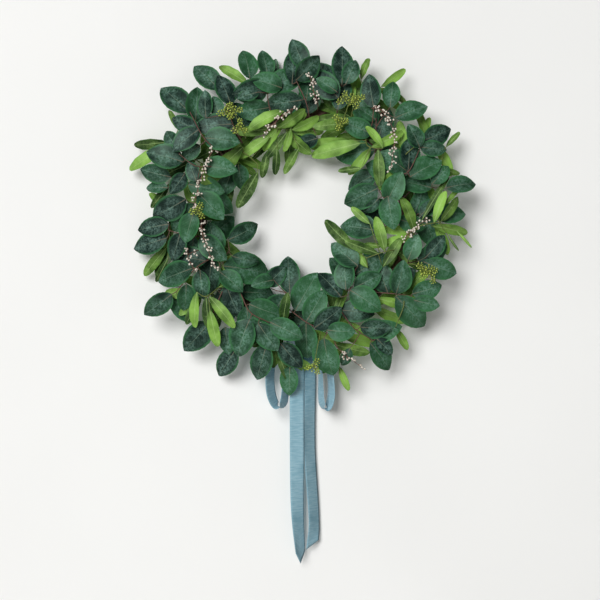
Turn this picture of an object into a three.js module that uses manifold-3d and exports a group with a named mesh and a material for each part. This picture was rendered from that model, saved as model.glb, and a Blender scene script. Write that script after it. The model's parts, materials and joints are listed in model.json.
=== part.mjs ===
// A round wreath of mixed foliage with a ribbon bow, hung from a hook.
// Millimetres, X to the right, Y towards the wall, Z up.
// The origin is where the hook carries the vine ring, under the inner side of its top.
import * as THREE from "three";
import { mergeVertices } from "three/addons/utils/BufferGeometryUtils.js";
import Module from "manifold-3d";

const wasm = await Module();
wasm.setup();

// Vine ring
const RING_RADIUS = 180;
const VINE_RADIUS = 10.4;
const VINE_LOBE = 1.6;
const VINE_LOBES = 3;
const VINE_TURNS = 4;
const VINE_SIDES = 9;
const RING_STATIONS = 54;
const RING_Z = -(RING_RADIUS - VINE_RADIUS - VINE_LOBE);

// How a place in the photograph becomes a place on the wreath
const PICTURE_MIDDLE = 300;
const PICTURE_RING_X = 303;
const PICTURE_RING_Y = 217;
const MM_PER_PIXEL = 1.743;
const VIEW_DISTANCE = 2470;
const AIM_X = (PICTURE_MIDDLE - PICTURE_RING_X) * MM_PER_PIXEL;
const AIM_Z = (PICTURE_RING_Y - PICTURE_MIDDLE) * MM_PER_PIXEL + RING_Z;

// Foliage
const DOME_WIDTH = 136;
const DOME_LEAST = 0.35;
const STEM_RADIUS = 1.3;
const TWIG_RADIUS = 0.9;
const STEM_STEP = 16;
const STEM_CLEAR = 19;
const SEAT_GAP = 0.3;
const BLADE_THICKNESS = 0.7;
const PETIOLE_HALF = 0.8;
const LONG_PETIOLE = 5;
const LINE_CUTS = 4;
const END_SHARE = 0.08;
const CLEARANCE = 0.35;
const MERGE = 1e-3;
const SMALLEST_EDGES = [0.08, 0.12, 0.05, 0.16, 0.03, 0.2];
const BACK_PITCH = 22;
const LEAF_ROLL = 0.9;
const LEAF_TILT = 16;
const ARCH_LEAST = 0.02;
const ARCH_SPREAD = 0.07;
const WIDTH_LEAST = 0.92;
const WIDTH_SPREAD = 0.16;
const OWN_ROOT_SHARE = 0.05;
const STEM_START_SHARE = 0.6;
const BACK_LIMIT = 14;
const DEPTH_SHIFTS = [0, -5, 5, -10, 10, -15, 15];
const PITCH_SHIFTS = [0, 9, -9, 18, 27, 36];
const STEM_SHIFTS = [0, -5, 5, -10, 10, -15, 15, -20, 20];

// How far towards the viewer each layer of sprigs stands, above the middle of the ring
const LEVEL = { spray: 66, front: 58, middle: 40, back: 22 };

// Blade forms: half-width at each share of the length, and width over length
const BLADES = {
  dark: { at: [0.18, 0.5, 0.82], half: [0.7, 1, 0.64], ratio: 0.62 },
  light: { at: [0.16, 0.52, 0.86], half: [0.62, 1, 0.7], ratio: 0.29 },
  narrow: { at: [0.16, 0.52, 0.86], half: [0.62, 1, 0.6], ratio: 0.12 },
};

// Each sprig: its layer, the places that its stem passes, and the tip and base of each leaf,
// as places in the photograph.
const DARK_SPRIGS = [
  ["front", [[222, 154], [204, 138], [190, 112]],
    [[161, 88, 190, 113], [172, 118, 200, 131], [181, 160, 200, 145], [206, 134, 214, 158]]],
  ["front", [[216, 166], [196, 166], [179, 154]],
    [[146, 152, 183, 162], [166, 131, 179, 151], [189, 161, 197, 182]]],
  ["middle", [[206, 190], [188, 184], [172, 178]],
    [[140, 169, 171, 177], [170, 194, 185, 173], [146, 188, 168, 188]]],
  ["front", [[204, 208], [196, 204], [188, 202]],
    [[153, 217, 186, 199], [185, 243, 194, 212], [224, 220, 198, 193]]],
  ["middle", [[206, 236], [188, 236], [168, 230]],
    [[138, 230, 169, 224], [134, 249, 167, 238], [172, 261, 180, 233], [246, 265, 210, 235, "light"]]],
  ["front", [[212, 258], [196, 268], [176, 292]],
    [[158, 282, 193, 268], [144, 315, 172, 294], [184, 311, 186, 284], [204, 300, 200, 270]]],
  ["middle", [[226, 284], [216, 306], [212, 324], [234, 348]],
    [[184, 351, 210, 322], [234, 319, 218, 290], [229, 355, 225, 327], [219, 376, 236, 349]]],
  ["front", [[240, 292], [250, 312], [268, 322]],
    [[282, 316, 249, 304], [238, 357, 250, 319], [278, 351, 258, 323], [303, 338, 270, 322]]],
  ["front", [[290, 318], [282, 334], [270, 344]],
    [[257, 380, 267, 344], [302, 368, 280, 343]]],
  ["front", [[284, 306], [306, 322], [328, 333]],
    [[342, 307, 314, 328], [356, 332, 327, 330], [333, 376, 324, 338], [318, 272, 295, 311]]],
  ["front", [[340, 310], [354, 328], [374, 341]],
    [[392, 328, 360, 327], [390, 370, 370, 343], [392, 355, 376, 338], [342, 366, 350, 348]]],
  ["front", [[372, 292], [396, 294], [412, 296]],
    [[425, 327, 396, 296], [442, 285, 412, 294], [440, 306, 414, 300], [342, 314, 374, 306]]],
  ["front", [[352, 300], [350, 290], [356, 268]],
    [[382, 274, 354, 288], [345, 258, 346, 290], [318, 273, 341, 297], [331, 243, 358, 266]]],
  ["front", [[390, 270], [404, 264], [424, 260]],
    [[418, 234, 408, 260], [445, 235, 426, 257], [457, 274, 424, 262], [416, 269, 389, 288]]],
  ["front", [[402, 224], [390, 208], [380, 192]],
    [[340, 226, 378, 231], [394, 230, 388, 196], [344, 204, 378, 188], [364, 212, 379, 198]]],
  ["middle", [[410, 226], [418, 214], [434, 214]],
    [[424, 186, 413, 217], [466, 214, 434, 216], [440, 200, 420, 216]]],
  ["front", [[402, 200], [416, 188], [440, 188]],
    [[476, 184, 446, 188], [449, 166, 432, 184], [372, 168, 399, 190], [406, 178, 416, 208]]],
  ["front", [[394, 172], [408, 172], [421, 146]],
    [[409, 138, 408, 171], [442, 160, 410, 177], [451, 129, 422, 141], [447, 150, 420, 147],
      [408, 124, 420, 148]]],
  ["middle", [[382, 158], [377, 142], [376, 118]],
    [[335, 157, 375, 150], [359, 108, 376, 120], [348, 190, 376, 174], [404, 158, 380, 152]]],
  ["front", [[372, 134], [382, 118], [391, 106]],
    [[428, 106, 395, 118], [393, 81, 390, 108], [369, 74, 374, 108]]],
  ["front", [[336, 122], [338, 104], [340, 86]],
    [[342, 46, 342, 84], [316, 78, 337, 92], [356, 60, 346, 84], [312, 89, 330, 123]]],
  ["front", [[310, 120], [306, 102], [296, 80]],
    [[293, 50, 292, 84], [292, 39, 305, 70], [264, 105, 302, 100, 12], [284, 117, 316, 126],
      [296, 144, 318, 138]]],
  ["front", [[274, 122], [268, 100], [268, 80]],
    [[262, 50, 268, 77], [243, 50, 250, 79], [251, 78, 282, 88], [237, 99, 259, 92]]],
  ["front", [[242, 142], [232, 122], [224, 96]],
    [[218, 75, 231, 105], [194, 66, 220, 90], [194, 127, 233, 124], [205, 90, 206, 118],
      [213, 96, 221, 118]]],
  ["middle", [[212, 256], [224, 256], [230, 250]],
    [[258, 224, 228, 240], [259, 262, 232, 256], [270, 274, 223, 266], [243, 292, 220, 272]]],
  ["middle", [[280, 310], [284, 300], [286, 292]],
    [[288, 256, 290, 294], [286, 266, 266, 286], [251, 286, 274, 280]]],
];
const LIGHT_SPRIGS = [
  ["back", [[208, 168], [190, 156], [168, 144]],
    [[134, 145, 167, 142], [129, 170, 166, 147], [169, 110, 178, 130]]],
  ["back", [[196, 214], [174, 216], [168, 248]],
    [[151, 208, 169, 184], [144, 276, 167, 247], [156, 282, 168, 258]]],
  ["middle", [[230, 156], [242, 152], [258, 164]],
    [[201, 184, 243, 147], [240, 158, 270, 136], [237, 208, 258, 172], [229, 205, 232, 174],
      [242, 190, 238, 164, "dark"], [222, 196, 232, 170, "dark"]]],
  ["middle", [[266, 128], [278, 128], [292, 130]],
    [[248, 130, 284, 111], [263, 151, 284, 122], [267, 158, 287, 132], [284, 152, 291, 128],
      [284, 174, 299, 148], [275, 175, 277, 148], [262, 178, 268, 150]]],
  ["middle", [[258, 118], [252, 100], [248, 84]],
    [[219, 66, 248, 84]]],
  ["middle", [[350, 122], [358, 98], [380, 88]],
    [[352, 75, 354, 100], [369, 58, 361, 80], [406, 69, 381, 87]]],
  ["front", [[366, 140], [368, 146], [378, 149]],
    [[345, 103, 367, 137], [366, 126, 383, 148], [306, 145, 351, 140], [311, 156, 361, 143],
      [338, 171, 361, 168]]],
  ["middle", [[400, 166], [404, 156], [424, 142], [446, 148]],
    [[403, 126, 397, 155], [430, 117, 420, 141], [460, 132, 446, 147], [460, 174, 438, 168]]],
  ["front", [[412, 236], [420, 226], [440, 222]],
    [[468, 233, 432, 226], [449, 177, 422, 220, "narrow"], [465, 181, 438, 211, "narrow"],
      [459, 251, 447, 233, "narrow"], [472, 248, 456, 230, "narrow"]]],
  ["front", [[396, 250], [384, 252], [366, 258]],
    [[400, 206, 402, 235], [401, 238, 383, 267], [325, 220, 356, 250], [350, 243, 368, 268],
      [364, 244, 384, 246], [351, 207, 370, 224]]],
  ["front", [[372, 306], [374, 300], [377, 297]],
    [[354, 308, 377, 298], [408, 307, 377, 298], [337, 301, 360, 292]]],
  ["middle", [[396, 284], [404, 302], [396, 326]],
    [[408, 350, 395, 328], [459, 304, 438, 290]]],
  ["middle", [[336, 318], [342, 330], [342, 348]],
    [[369, 338, 351, 322], [370, 353, 334, 344], [349, 391, 339, 366]]],
  ["front", [[218, 288], [208, 296], [202, 296]],
    [[195, 328, 197, 292], [218, 347, 210, 310], [235, 328, 209, 296]]],
  ["middle", [[284, 324], [280, 338], [280, 350]],
    [[288, 380, 277, 351], [289, 396, 290, 366, "dark"]]],
];

// Bud sprays and seed heads: where the twig passes, its last stretch from the given place on bears buds
const BUD_SPRAYS = [
  { twig: [[222, 148], [212, 152], [201, 178], [194, 204]], from: 0.3, buds: 11 },
  { twig: [[202, 220], [202, 232], [208, 250], [215, 268]], from: 0.3, buds: 9 },
  { twig: [[290, 116], [292, 109], [280, 118], [265, 132]], from: 0.35, buds: 8 },
  { twig: [[318, 104], [314, 92], [310, 76]], from: 0.45, buds: 6 },
  { twig: [[372, 124], [376, 106], [394, 132], [391, 168]], from: 0.3, buds: 12 },
  { twig: [[404, 242], [408, 234], [424, 221]], from: 0.4, buds: 7 },
  { twig: [[330, 326], [338, 348], [360, 366]], from: 0.6, buds: 4 },
  { twig: [[200, 250], [188, 256], [196, 272]], from: 0.4, buds: 4 },
];
const SEED_HEADS = [
  { stalk: [[246, 138], [240, 126], [234, 111]], heads: [[234, 110], [240, 127], [226, 112]] },
  { stalk: [[340, 128], [346, 112], [350, 98]], heads: [[340, 122], [345, 99], [357, 100]] },
  { stalk: [[398, 268], [412, 264], [430, 272]], heads: [[431, 275], [424, 270]] },
  { stalk: [[204, 216], [200, 212], [197, 210]], heads: [[198, 211]] },
  { stalk: [[322, 326], [318, 344], [314, 366]], heads: [[314, 367]] },
];
const BUD_LENGTH = 9;
const BUD_WIDTH = 4.2;
const BUD_START = 0.6;
const BUD_LEAN = 0.9;
const GRAIN_BELLY = 0.68;
const SIZE_LEAST = 0.85;
const SIZE_SPREAD = 0.3;
const SEED_LENGTH = 9;
const SEED_WIDTH = 3.2;
const SEEDS_A_HEAD = 5;
const HEAD_FALL = 1.35;
const TURN_EACH = 2.399963;
const HEAD_RISE = 5;
const HEAD_SINK = 1.5;
const HEAD_RADIUS = 1.2;

// Leaves that fill the depth of the wreath behind the ones that the photograph shows
const FILL_ROUNDS = 5;
const FILL_COUNT = { dark: 5, light: 2 };
const FILL_LENGTH = { dark: 58, light: 60 };
const FILL_STARTS = 6;
const FILL_WAYS = 15;
const FILL_SEED = 20000;
const FILL_SQUARE = 3;
const FILL_LEAST = 10;
const FILL_BEHIND = 8;
const FILL_INNER = 122;
const FILL_OUTER = 262;

// Ribbon
const RIBBON_THICKNESS = 1.2;
const KNOT = { width: 18, depth: 24, height: 17, drop: 21 };
const BAND_CLEAR = 0.6;
const KNOT_MIDDLE = new THREE.Vector3(0, -4, RING_Z - RING_RADIUS - KNOT.drop);
const RIBBON_STEPS = 2;
const TAIL_POINT = 20;
const TAIL_SLANT = 17;

// The ribbon's stretches: place in the photograph, depth, degrees that the width is turned, and width
const LOOP_LEFT = [
  [297.5, 330, -4, 90, 22],
  [287, 331, -4, 84, 25],
  [277, 344, -12, 68, 25],
  [270.5, 370, -15, 56, 25],
  [271, 393, -15, 52, 25],
  [277, 406, -14, 52, 25],
  [284, 401, -12, 56, 25],
  [285.5, 376, -9, 66, 25],
  [286.5, 350, -6, 76, 25],
  [290, 337.5, -4, 86, 24],
  [297.5, 335.6, -4, 90, 22],
];
const LOOP_RIGHT = [
  [308.5, 330, -4, 90, 22],
  [318, 331.5, -4, 96, 25],
  [325, 346, -12, 108, 25],
  [330, 372, -15, 116, 25],
  [331, 396, -15, 120, 25],
  [327, 408, -14, 118, 25],
  [321.5, 402, -12, 114, 25],
  [320.5, 376, -9, 106, 25],
  [319, 350, -6, 100, 25],
  [315.5, 337.5, -4, 94, 24],
  [308.5, 335.6, -4, 90, 22],
];
const TAIL_LEFT = [
  [301.2, 337.55, -9, 0, 12],
  [298.5, 356, -9, 4, 20],
  [297, 374, -9, 6, 25],
  [297, 450, -9, 10, 25],
  [297.5, 510, -7, 25, 25],
  [300.5, 552, -5, 50, 25],
];
const TAIL_RIGHT = [
  [305, 337.35, 3, 10, 12],
  [308, 356, 3, 24, 20],
  [310, 378, 3, 36, 25],
  [310, 450, 4, 40, 25],
  [314, 519, 4, 40, 25],
  [312.5, 540, 3, 30, 25],
];

const COLOURS = {
  vine: 0x6b4a38,
  dark: 0x2f5548,
  light: 0x6f9e46,
  bud: 0xe9e2d2,
  seed: 0xa8b84a,
  ribbon: 0x7fa9b8,
};

// Small repeatable random numbers, one run for each leaf
function randomFrom(seed) {
  let state = seed >>> 0;
  return () => {
    state = (state + 0x6d2b79f5) >>> 0;
    let t = state;
    t = Math.imul(t ^ (t >>> 15), t | 1);
    t ^= t + Math.imul(t ^ (t >>> 7), t | 61);
    return ((t ^ (t >>> 14)) >>> 0) / 4294967296;
  };
}

// A place in the photograph, at a depth y, as a point of the wreath
function placeOf(pictureX, pictureY, y) {
  const scale = (MM_PER_PIXEL * (VIEW_DISTANCE + y)) / VIEW_DISTANCE;
  return new THREE.Vector3(
    AIM_X + (pictureX - PICTURE_MIDDLE) * scale,
    y,
    AIM_Z - (pictureY - PICTURE_MIDDLE) * scale,
  );
}

// The middle of the vine ring nearest to a point
function ringMiddle(point) {
  const angle = Math.atan2(point.x, point.z - RING_Z);
  return new THREE.Vector3(
    RING_RADIUS * Math.sin(angle),
    0,
    RING_Z + RING_RADIUS * Math.cos(angle),
  );
}

// How much of a layer's height is left at a place in the photograph: full over the ring, less beside it
function domeAt(pictureX, pictureY) {
  const x = (pictureX - PICTURE_RING_X) * MM_PER_PIXEL;
  const z = (PICTURE_RING_Y - pictureY) * MM_PER_PIXEL;
  const beside = (Math.hypot(x, z) - RING_RADIUS) / DOME_WIDTH;
  return Math.max(DOME_LEAST, Math.sqrt(Math.max(0, 1 - beside * beside)));
}

// A closed solid from a three.js geometry, turned so that its faces point out
function solidOf(geometry, tolerance = 1e-4) {
  const bare = new THREE.BufferGeometry();
  bare.setAttribute("position", geometry.getAttribute("position"));
  if (geometry.index) bare.setIndex(geometry.index);
  const merged = mergeVertices(bare, tolerance);
  const vertProperties = new Float32Array(merged.attributes.position.array);
  const triVerts = new Uint32Array(merged.index.array);
  const make = () => new wasm.Manifold(new wasm.Mesh({ numProp: 3, vertProperties, triVerts }));
  const solid = make();
  if (solid.volume() > 0) return solid;
  for (let i = 0; i < triVerts.length; i += 3) {
    [triVerts[i + 1], triVerts[i + 2]] = [triVerts[i + 2], triVerts[i + 1]];
  }
  return make();
}

// The three.js geometry of a closed solid
function geometryOf(solid) {
  const mesh = solid.getMesh();
  const geometry = new THREE.BufferGeometry();
  geometry.setAttribute("position", new THREE.BufferAttribute(mesh.vertProperties, 3));
  geometry.setIndex(new THREE.BufferAttribute(mesh.triVerts, 1));
  geometry.computeVertexNormals();
  return geometry;
}

// A thin closed strip through cross lines, each with its left and right end and the strip's normal.
// A cross line whose ends are one point closes the strip to a point there.
function stripGeometry(lines, thickness) {
  const positions = [];
  const rows = lines.map(({ left, right, normal }) => {
    const up = normal.clone().multiplyScalar(thickness / 2);
    const corners = left.equals(right) ? [left] : [left, right];
    return corners.map((corner) => {
      positions.push(...corner.clone().add(up).toArray(), ...corner.clone().sub(up).toArray());
      return positions.length / 3 - 2;
    });
  });
  const faces = [];
  const quad = (a, b, c, d) => faces.push(a, b, c, a, c, d);
  for (let i = 0; i + 1 < rows.length; i += 1) {
    const [al, ar] = [rows[i][0], rows[i][rows[i].length - 1]];
    const [bl, br] = [rows[i + 1][0], rows[i + 1][rows[i + 1].length - 1]];
    if (bl === br) {
      faces.push(al, ar, bl, al + 1, bl + 1, ar + 1);
    } else if (al === ar) {
      faces.push(al, br, bl, al + 1, bl + 1, br + 1);
    } else {
      quad(al, ar, br, bl);
      quad(al + 1, bl + 1, br + 1, ar + 1);
    }
    quad(al + 1, al, bl, bl + 1);
    quad(ar, ar + 1, br + 1, br);
  }
  const first = rows[0];
  const last = rows[rows.length - 1];
  if (first.length > 1) quad(first[0], first[0] + 1, first[1] + 1, first[1]);
  if (last.length > 1) quad(last[0] + 1, last[0], last[1], last[1] + 1);
  const geometry = new THREE.BufferGeometry();
  geometry.setAttribute("position", new THREE.Float32BufferAttribute(positions, 3));
  geometry.setIndex(faces);
  return geometry;
}

// A round stem along a curve
function stemGeometry(curve, radius, sides, steps) {
  const shape = new THREE.Shape();
  for (let i = 0; i < sides; i += 1) {
    const angle = (2 * Math.PI * i) / sides;
    const corner = [radius * Math.cos(angle), radius * Math.sin(angle)];
    if (i === 0) shape.moveTo(...corner);
    else shape.lineTo(...corner);
  }
  shape.closePath();
  return new THREE.ExtrudeGeometry(shape, { extrudePath: curve, steps, bevelEnabled: false });
}

// A long four-sided bud or seed from its root to its tip, widest near the tip
function budGeometry(root, tip, width) {
  const axis = tip.clone().sub(root);
  const length = axis.length();
  axis.normalize();
  const side = new THREE.Vector3(0, 0, 1).cross(axis);
  if (side.length() < 0.1) side.set(1, 0, 0);
  side.normalize();
  const other = axis.clone().cross(side);
  const middle = root.clone().addScaledVector(axis, length * GRAIN_BELLY);
  const ring = [side, other, side.clone().negate(), other.clone().negate()].map((way) =>
    middle.clone().addScaledVector(way, width / 2),
  );
  const points = [root, ...ring, tip];
  const faces = [];
  for (let i = 0; i < 4; i += 1) {
    const next = (i + 1) % 4;
    faces.push(0, 1 + next, 1 + i, 5, 1 + i, 1 + next);
  }
  const geometry = new THREE.BufferGeometry();
  geometry.setAttribute(
    "position",
    new THREE.Float32BufferAttribute(points.flatMap((point) => point.toArray()), 3),
  );
  geometry.setIndex(faces);
  return geometry;
}

// The twisted vine ring, as rows of points that follow its lobes round
function vineRadiusAt(j) {
  return VINE_RADIUS + VINE_LOBE * Math.cos((2 * Math.PI * VINE_LOBES * j) / VINE_SIDES);
}

function ringGeometry() {
  const positions = [];
  for (let i = 0; i < RING_STATIONS; i += 1) {
    const station = (2 * Math.PI * i) / RING_STATIONS;
    for (let j = 0; j < VINE_SIDES; j += 1) {
      const angle = (2 * Math.PI * j) / VINE_SIDES + VINE_TURNS * station + Math.PI;
      const out = RING_RADIUS + vineRadiusAt(j) * Math.cos(angle);
      positions.push(
        out * Math.sin(station),
        vineRadiusAt(j) * Math.sin(angle),
        RING_Z + out * Math.cos(station),
      );
    }
  }
  const faces = [];
  for (let i = 0; i < RING_STATIONS; i += 1) {
    const nextRow = ((i + 1) % RING_STATIONS) * VINE_SIDES;
    for (let j = 0; j < VINE_SIDES; j += 1) {
      const next = (j + 1) % VINE_SIDES;
      const [a, b] = [i * VINE_SIDES + j, i * VINE_SIDES + next];
      faces.push(a, nextRow + j, nextRow + next, a, nextRow + next, b);
    }
  }
  const geometry = new THREE.BufferGeometry();
  geometry.setAttribute("position", new THREE.Float32BufferAttribute(positions, 3));
  geometry.setIndex(faces);
  return geometry;
}

// What stands in the way of a new leaf: every solid placed so far, with its box and its node
const placed = [];

function boxOf(solid) {
  const box = solid.boundingBox();
  return new THREE.Box3(new THREE.Vector3(...box.min), new THREE.Vector3(...box.max));
}

function place(node, solid) {
  placed.push({ node, solid, box: boxOf(solid) });
}

// Whether a solid is clear of everything placed, its own node's solids counted only on request
function isClear(solid, node, own) {
  const box = boxOf(solid);
  return placed.every(
    (other) =>
      (other.node === node && !own) ||
      !other.box.intersectsBox(box) ||
      solid.intersect(other.solid).isEmpty(),
  );
}

// The curve of a stem: from its seat on the vine through the places listed, at its layer's height
function stemCurve(level, places, shift, seat) {
  const points = places.map(([x, y], i) => {
    const share = i === 0 ? STEM_START_SHARE : 1;
    const point = placeOf(x, y, -level * share * domeAt(x, y) - shift);
    const middle = ringMiddle(point);
    const away = point.clone().sub(middle);
    const least = i === 0 ? STEM_CLEAR : STEM_CLEAR + 2;
    return middle.addScaledVector(away.clone().normalize(), Math.max(least, away.length()));
  });
  const middle = ringMiddle(points[0]);
  const outward = points[0].clone().sub(middle).normalize();
  const root = middle.clone().addScaledVector(outward, VINE_RADIUS + seat);
  return new THREE.CatmullRomCurve3([root, ...points], false, "catmullrom", 0.5);
}

// A stem seated about SEAT_GAP off the vine and clear of the stems placed before it
function seatedStem(node, level, places, radius, ring) {
  for (const shift of STEM_SHIFTS) {
    let seat = -VINE_LOBE;
    let curve = stemCurve(level, places, shift, seat - SEAT_GAP);
    const steps = Math.max(3, Math.round(curve.getLength() / STEM_STEP));
    const solidAt = (at, wide) => {
      curve = stemCurve(level, places, shift, at);
      return solidOf(stemGeometry(curve, wide, 4, steps));
    };
    while (!solidAt(seat - SEAT_GAP, radius).intersect(ring).isEmpty()) seat += 0.1;
    if (isClear(solidAt(seat, radius + CLEARANCE), node, false)) {
      return { solid: solidAt(seat, radius), curve, line: curve.getSpacedPoints(steps) };
    }
  }
  return null;
}

// The blade and petiole of one leaf. The blade runs from base to tip, arched towards its face,
// and the petiole runs from the stem to the base.
function leafGeometry(leaf, extra) {
  const { root, base, tip, roll, arch, half, form } = leaf;
  const axis = tip.clone().sub(base);
  const length = axis.length();
  axis.normalize();
  const face = new THREE.Vector3(0, -1, 0).addScaledVector(axis, axis.y).normalize();
  face.applyAxisAngle(axis, roll);
  const side = face.clone().cross(axis);
  const line = (middle, width, across = side) => ({
    left: middle.clone().addScaledVector(across, -width),
    right: middle.clone().addScaledVector(across, width),
    normal: face,
  });
  const lines = [];
  if (base.distanceTo(root) > LONG_PETIOLE) {
    const rootSide = face.clone().cross(base.clone().sub(root)).normalize();
    lines.push(line(root, PETIOLE_HALF + extra, rootSide));
    lines.push(line(base, PETIOLE_HALF + extra, rootSide.clone().add(side).normalize()));
  } else {
    lines.push(line(root, PETIOLE_HALF + extra));
  }
  form.at.forEach((at, i) => {
    const lift = arch * length * 4 * at * (1 - at);
    const middle = base.clone().addScaledVector(axis, at * length).addScaledVector(face, lift);
    lines.push(line(middle, half * form.half[i] + extra));
  });
  const end = tip.clone().addScaledVector(axis, extra);
  lines.push({ left: end, right: end, normal: face });
  return stripGeometry(lines, BLADE_THICKNESS + 2 * extra);
}

// Every depth and pitch that a leaf may take, the ones nearest to its wish first
const WAYS = DEPTH_SHIFTS.flatMap((shift) =>
  PITCH_SHIFTS.map((pitch) => ({ shift, pitch, cost: Math.abs(shift) / 5 + Math.abs(pitch) / 11 })),
).sort((a, b) => a.cost - b.cost);

// The point of a faceted stem that looks nearest to a place in the photograph, short of its end
function nearestOn(line, x, y) {
  let best = null;
  let least = Infinity;
  for (let i = LINE_CUTS / 2; i <= (line.length - 1) * LINE_CUTS; i += 1) {
    const row = Math.min(line.length - 2, Math.floor(i / LINE_CUTS));
    const share = Math.min(i / LINE_CUTS, line.length - 1 - END_SHARE) - row;
    const point = line[row].clone().lerp(line[row + 1], share);
    const distance = placeOf(x, y, point.y).distanceTo(point);
    if (distance < least) {
      least = distance;
      best = point;
    }
  }
  return best;
}

// One leaf of a sprig, in the first way that stays off the wall and is clear of everything, else
// of the other nodes, or null
function fittedLeaf(node, line, leaf, seed, kind) {
  const [tipX, tipY, baseX, baseY, ...extras] = leaf;
  const random = randomFrom(seed);
  const form = BLADES[extras.find((entry) => entry in BLADES) ?? kind];
  const behind = extras.find((entry) => typeof entry === "number") ?? 0;
  const roll = (random() - 0.5) * LEAF_ROLL;
  const arch = ARCH_LEAST + random() * ARCH_SPREAD;
  const wide = form.ratio * (WIDTH_LEAST + random() * WIDTH_SPREAD);
  const tilt = (random() - 0.5) * LEAF_TILT;
  const root = nearestOn(line, baseX, baseY);
  const out = new THREE.Vector2(baseX - PICTURE_RING_X, baseY - PICTURE_RING_Y);
  const way = new THREE.Vector2(tipX - baseX, tipY - baseY);
  const outer = out.length() * MM_PER_PIXEL > RING_RADIUS ? 1 : -1;
  const away = (outer * way.dot(out)) / way.length() / out.length();
  const wish = BACK_PITCH * Math.max(0, away) + tilt;
  const reach = way.length() * MM_PER_PIXEL;
  const half = (reach * wide) / 2 / Math.cos(roll);
  for (const own of [true, false]) {
    for (const { shift, pitch } of WAYS) {
      const base = placeOf(baseX, baseY, root.y + behind + shift);
      const lean = THREE.MathUtils.degToRad(wish + pitch);
      const tip = placeOf(tipX, tipY, base.y + reach * Math.tan(lean));
      const made = { root, base, tip, roll, arch, half, form };
      const solid = solidOf(leafGeometry(made, CLEARANCE));
      if (solid.boundingBox().max[1] > BACK_LIMIT || !isClear(solid, node, false)) continue;
      const blade = { ...made, root: base.clone().lerp(tip, OWN_ROOT_SHARE) };
      if (own && !isClear(solidOf(leafGeometry(blade, 0)), node, true)) continue;
      return solidOf(leafGeometry(made, 0));
    }
  }
  return null;
}

// The leaves that a sprig may bear behind its listed ones: they start all along it and turn round
// it, and none reaches into the wreath's hole or past its rim
function fillLeaves({ places, kind, seed }) {
  const leaves = [];
  for (let i = 0; i < FILL_STARTS * FILL_WAYS; i += 1) {
    const random = randomFrom(seed + FILL_SEED + i);
    const at = (Math.floor(i / FILL_WAYS) / FILL_STARTS) * (places.length - 1);
    const [from, to] = places.slice(Math.floor(at));
    const share = at - Math.floor(at);
    const x = from[0] + (to[0] - from[0]) * share;
    const y = from[1] + (to[1] - from[1]) * share;
    const turn = ((i + random()) * 2 * Math.PI) / FILL_WAYS;
    const size = (FILL_LENGTH[kind] * (SIZE_LEAST + random() * SIZE_SPREAD)) / MM_PER_PIXEL;
    const tip = [x + size * Math.cos(turn), y + size * Math.sin(turn)];
    const reach = Math.hypot(tip[0] - PICTURE_RING_X, tip[1] - PICTURE_RING_Y) * MM_PER_PIXEL;
    const leaf = [...tip, x, y, FILL_BEHIND];
    if (reach > FILL_INNER && reach < FILL_OUTER) leaves.push({ leaf, seed: seed + FILL_SEED + i });
  }
  return leaves;
}

// The small squares of the front view that a leaf covers
function squaresOf([tipX, tipY, baseX, baseY], ratio) {
  const [wayX, wayY] = [tipX - baseX, tipY - baseY];
  const squares = new Set();
  for (let along = 0.06; along < 1; along += 0.06) {
    const wide = ratio * Math.sqrt(along * (1 - along));
    for (let across = -0.8; across < 1; across += 0.2) {
      const x = baseX + wayX * along - wayY * wide * across;
      const y = baseY + wayY * along + wayX * wide * across;
      squares.add(`${Math.floor(x / FILL_SQUARE)} ${Math.floor(y / FILL_SQUARE)}`);
    }
  }
  return [...squares];
}

// Whether each edge of a solid borders just two faces once points nearer than MERGE are made one
function isTidy(solid) {
  const { index } = mergeVertices(geometryOf(solid).deleteAttribute("normal"), MERGE);
  const uses = new Map();
  for (let i = 0; i < index.count; i += 3) {
    for (const [from, to] of [[0, 1], [1, 2], [2, 0]]) {
      const ends = [index.getX(i + from), index.getX(i + to)].sort((p, q) => p - q).join();
      uses.set(ends, (uses.get(ends) ?? 0) + 1);
    }
  }
  return [...uses.values()].every((count) => count === 2);
}

// The pieces joined into one closed body, or null. Its smallest edges are closed up, more of them
// while edges still touch, and the part that holds the stem is kept.
function oneBody(solids) {
  const all = solids.reduce((sum, solid) => sum.add(solid));
  const held = (part) => part.intersect(solids[0]).volume();
  for (const smallest of SMALLEST_EDGES) {
    const parts = all.simplify(smallest).decompose();
    const best = parts.reduce((a, b) => (held(b) > held(a) ? b : a));
    const [body, ...scrap] = solidOf(geometryOf(best), MERGE).simplify(smallest).decompose();
    if (scrap.length === 0 && isTidy(body)) return body;
  }
  return null;
}

// A node's stem and repeats joined, where need be without the one repeat that keeps it from closing
function joined(solids) {
  const whole = oneBody(solids);
  if (whole) return whole;
  for (let left = solids.length - 1; left > 0; left -= 1) {
    const body = oneBody(solids.filter((_, i) => i !== left));
    if (body) return body;
  }
  throw new Error("the pieces don't join into one closed body");
}

const wreath = new THREE.Group();

function addMesh(name, solid, colour, roughness) {
  const material = new THREE.MeshStandardMaterial({ color: colour, roughness, metalness: 0 });
  const mesh = new THREE.Mesh(geometryOf(solid), material);
  mesh.name = name;
  wreath.add(mesh);
}

// Ring
const ring = solidOf(ringGeometry());
place("vine_ring", ring);
addMesh("vine_ring", ring, COLOURS.vine, 0.9);

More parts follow.
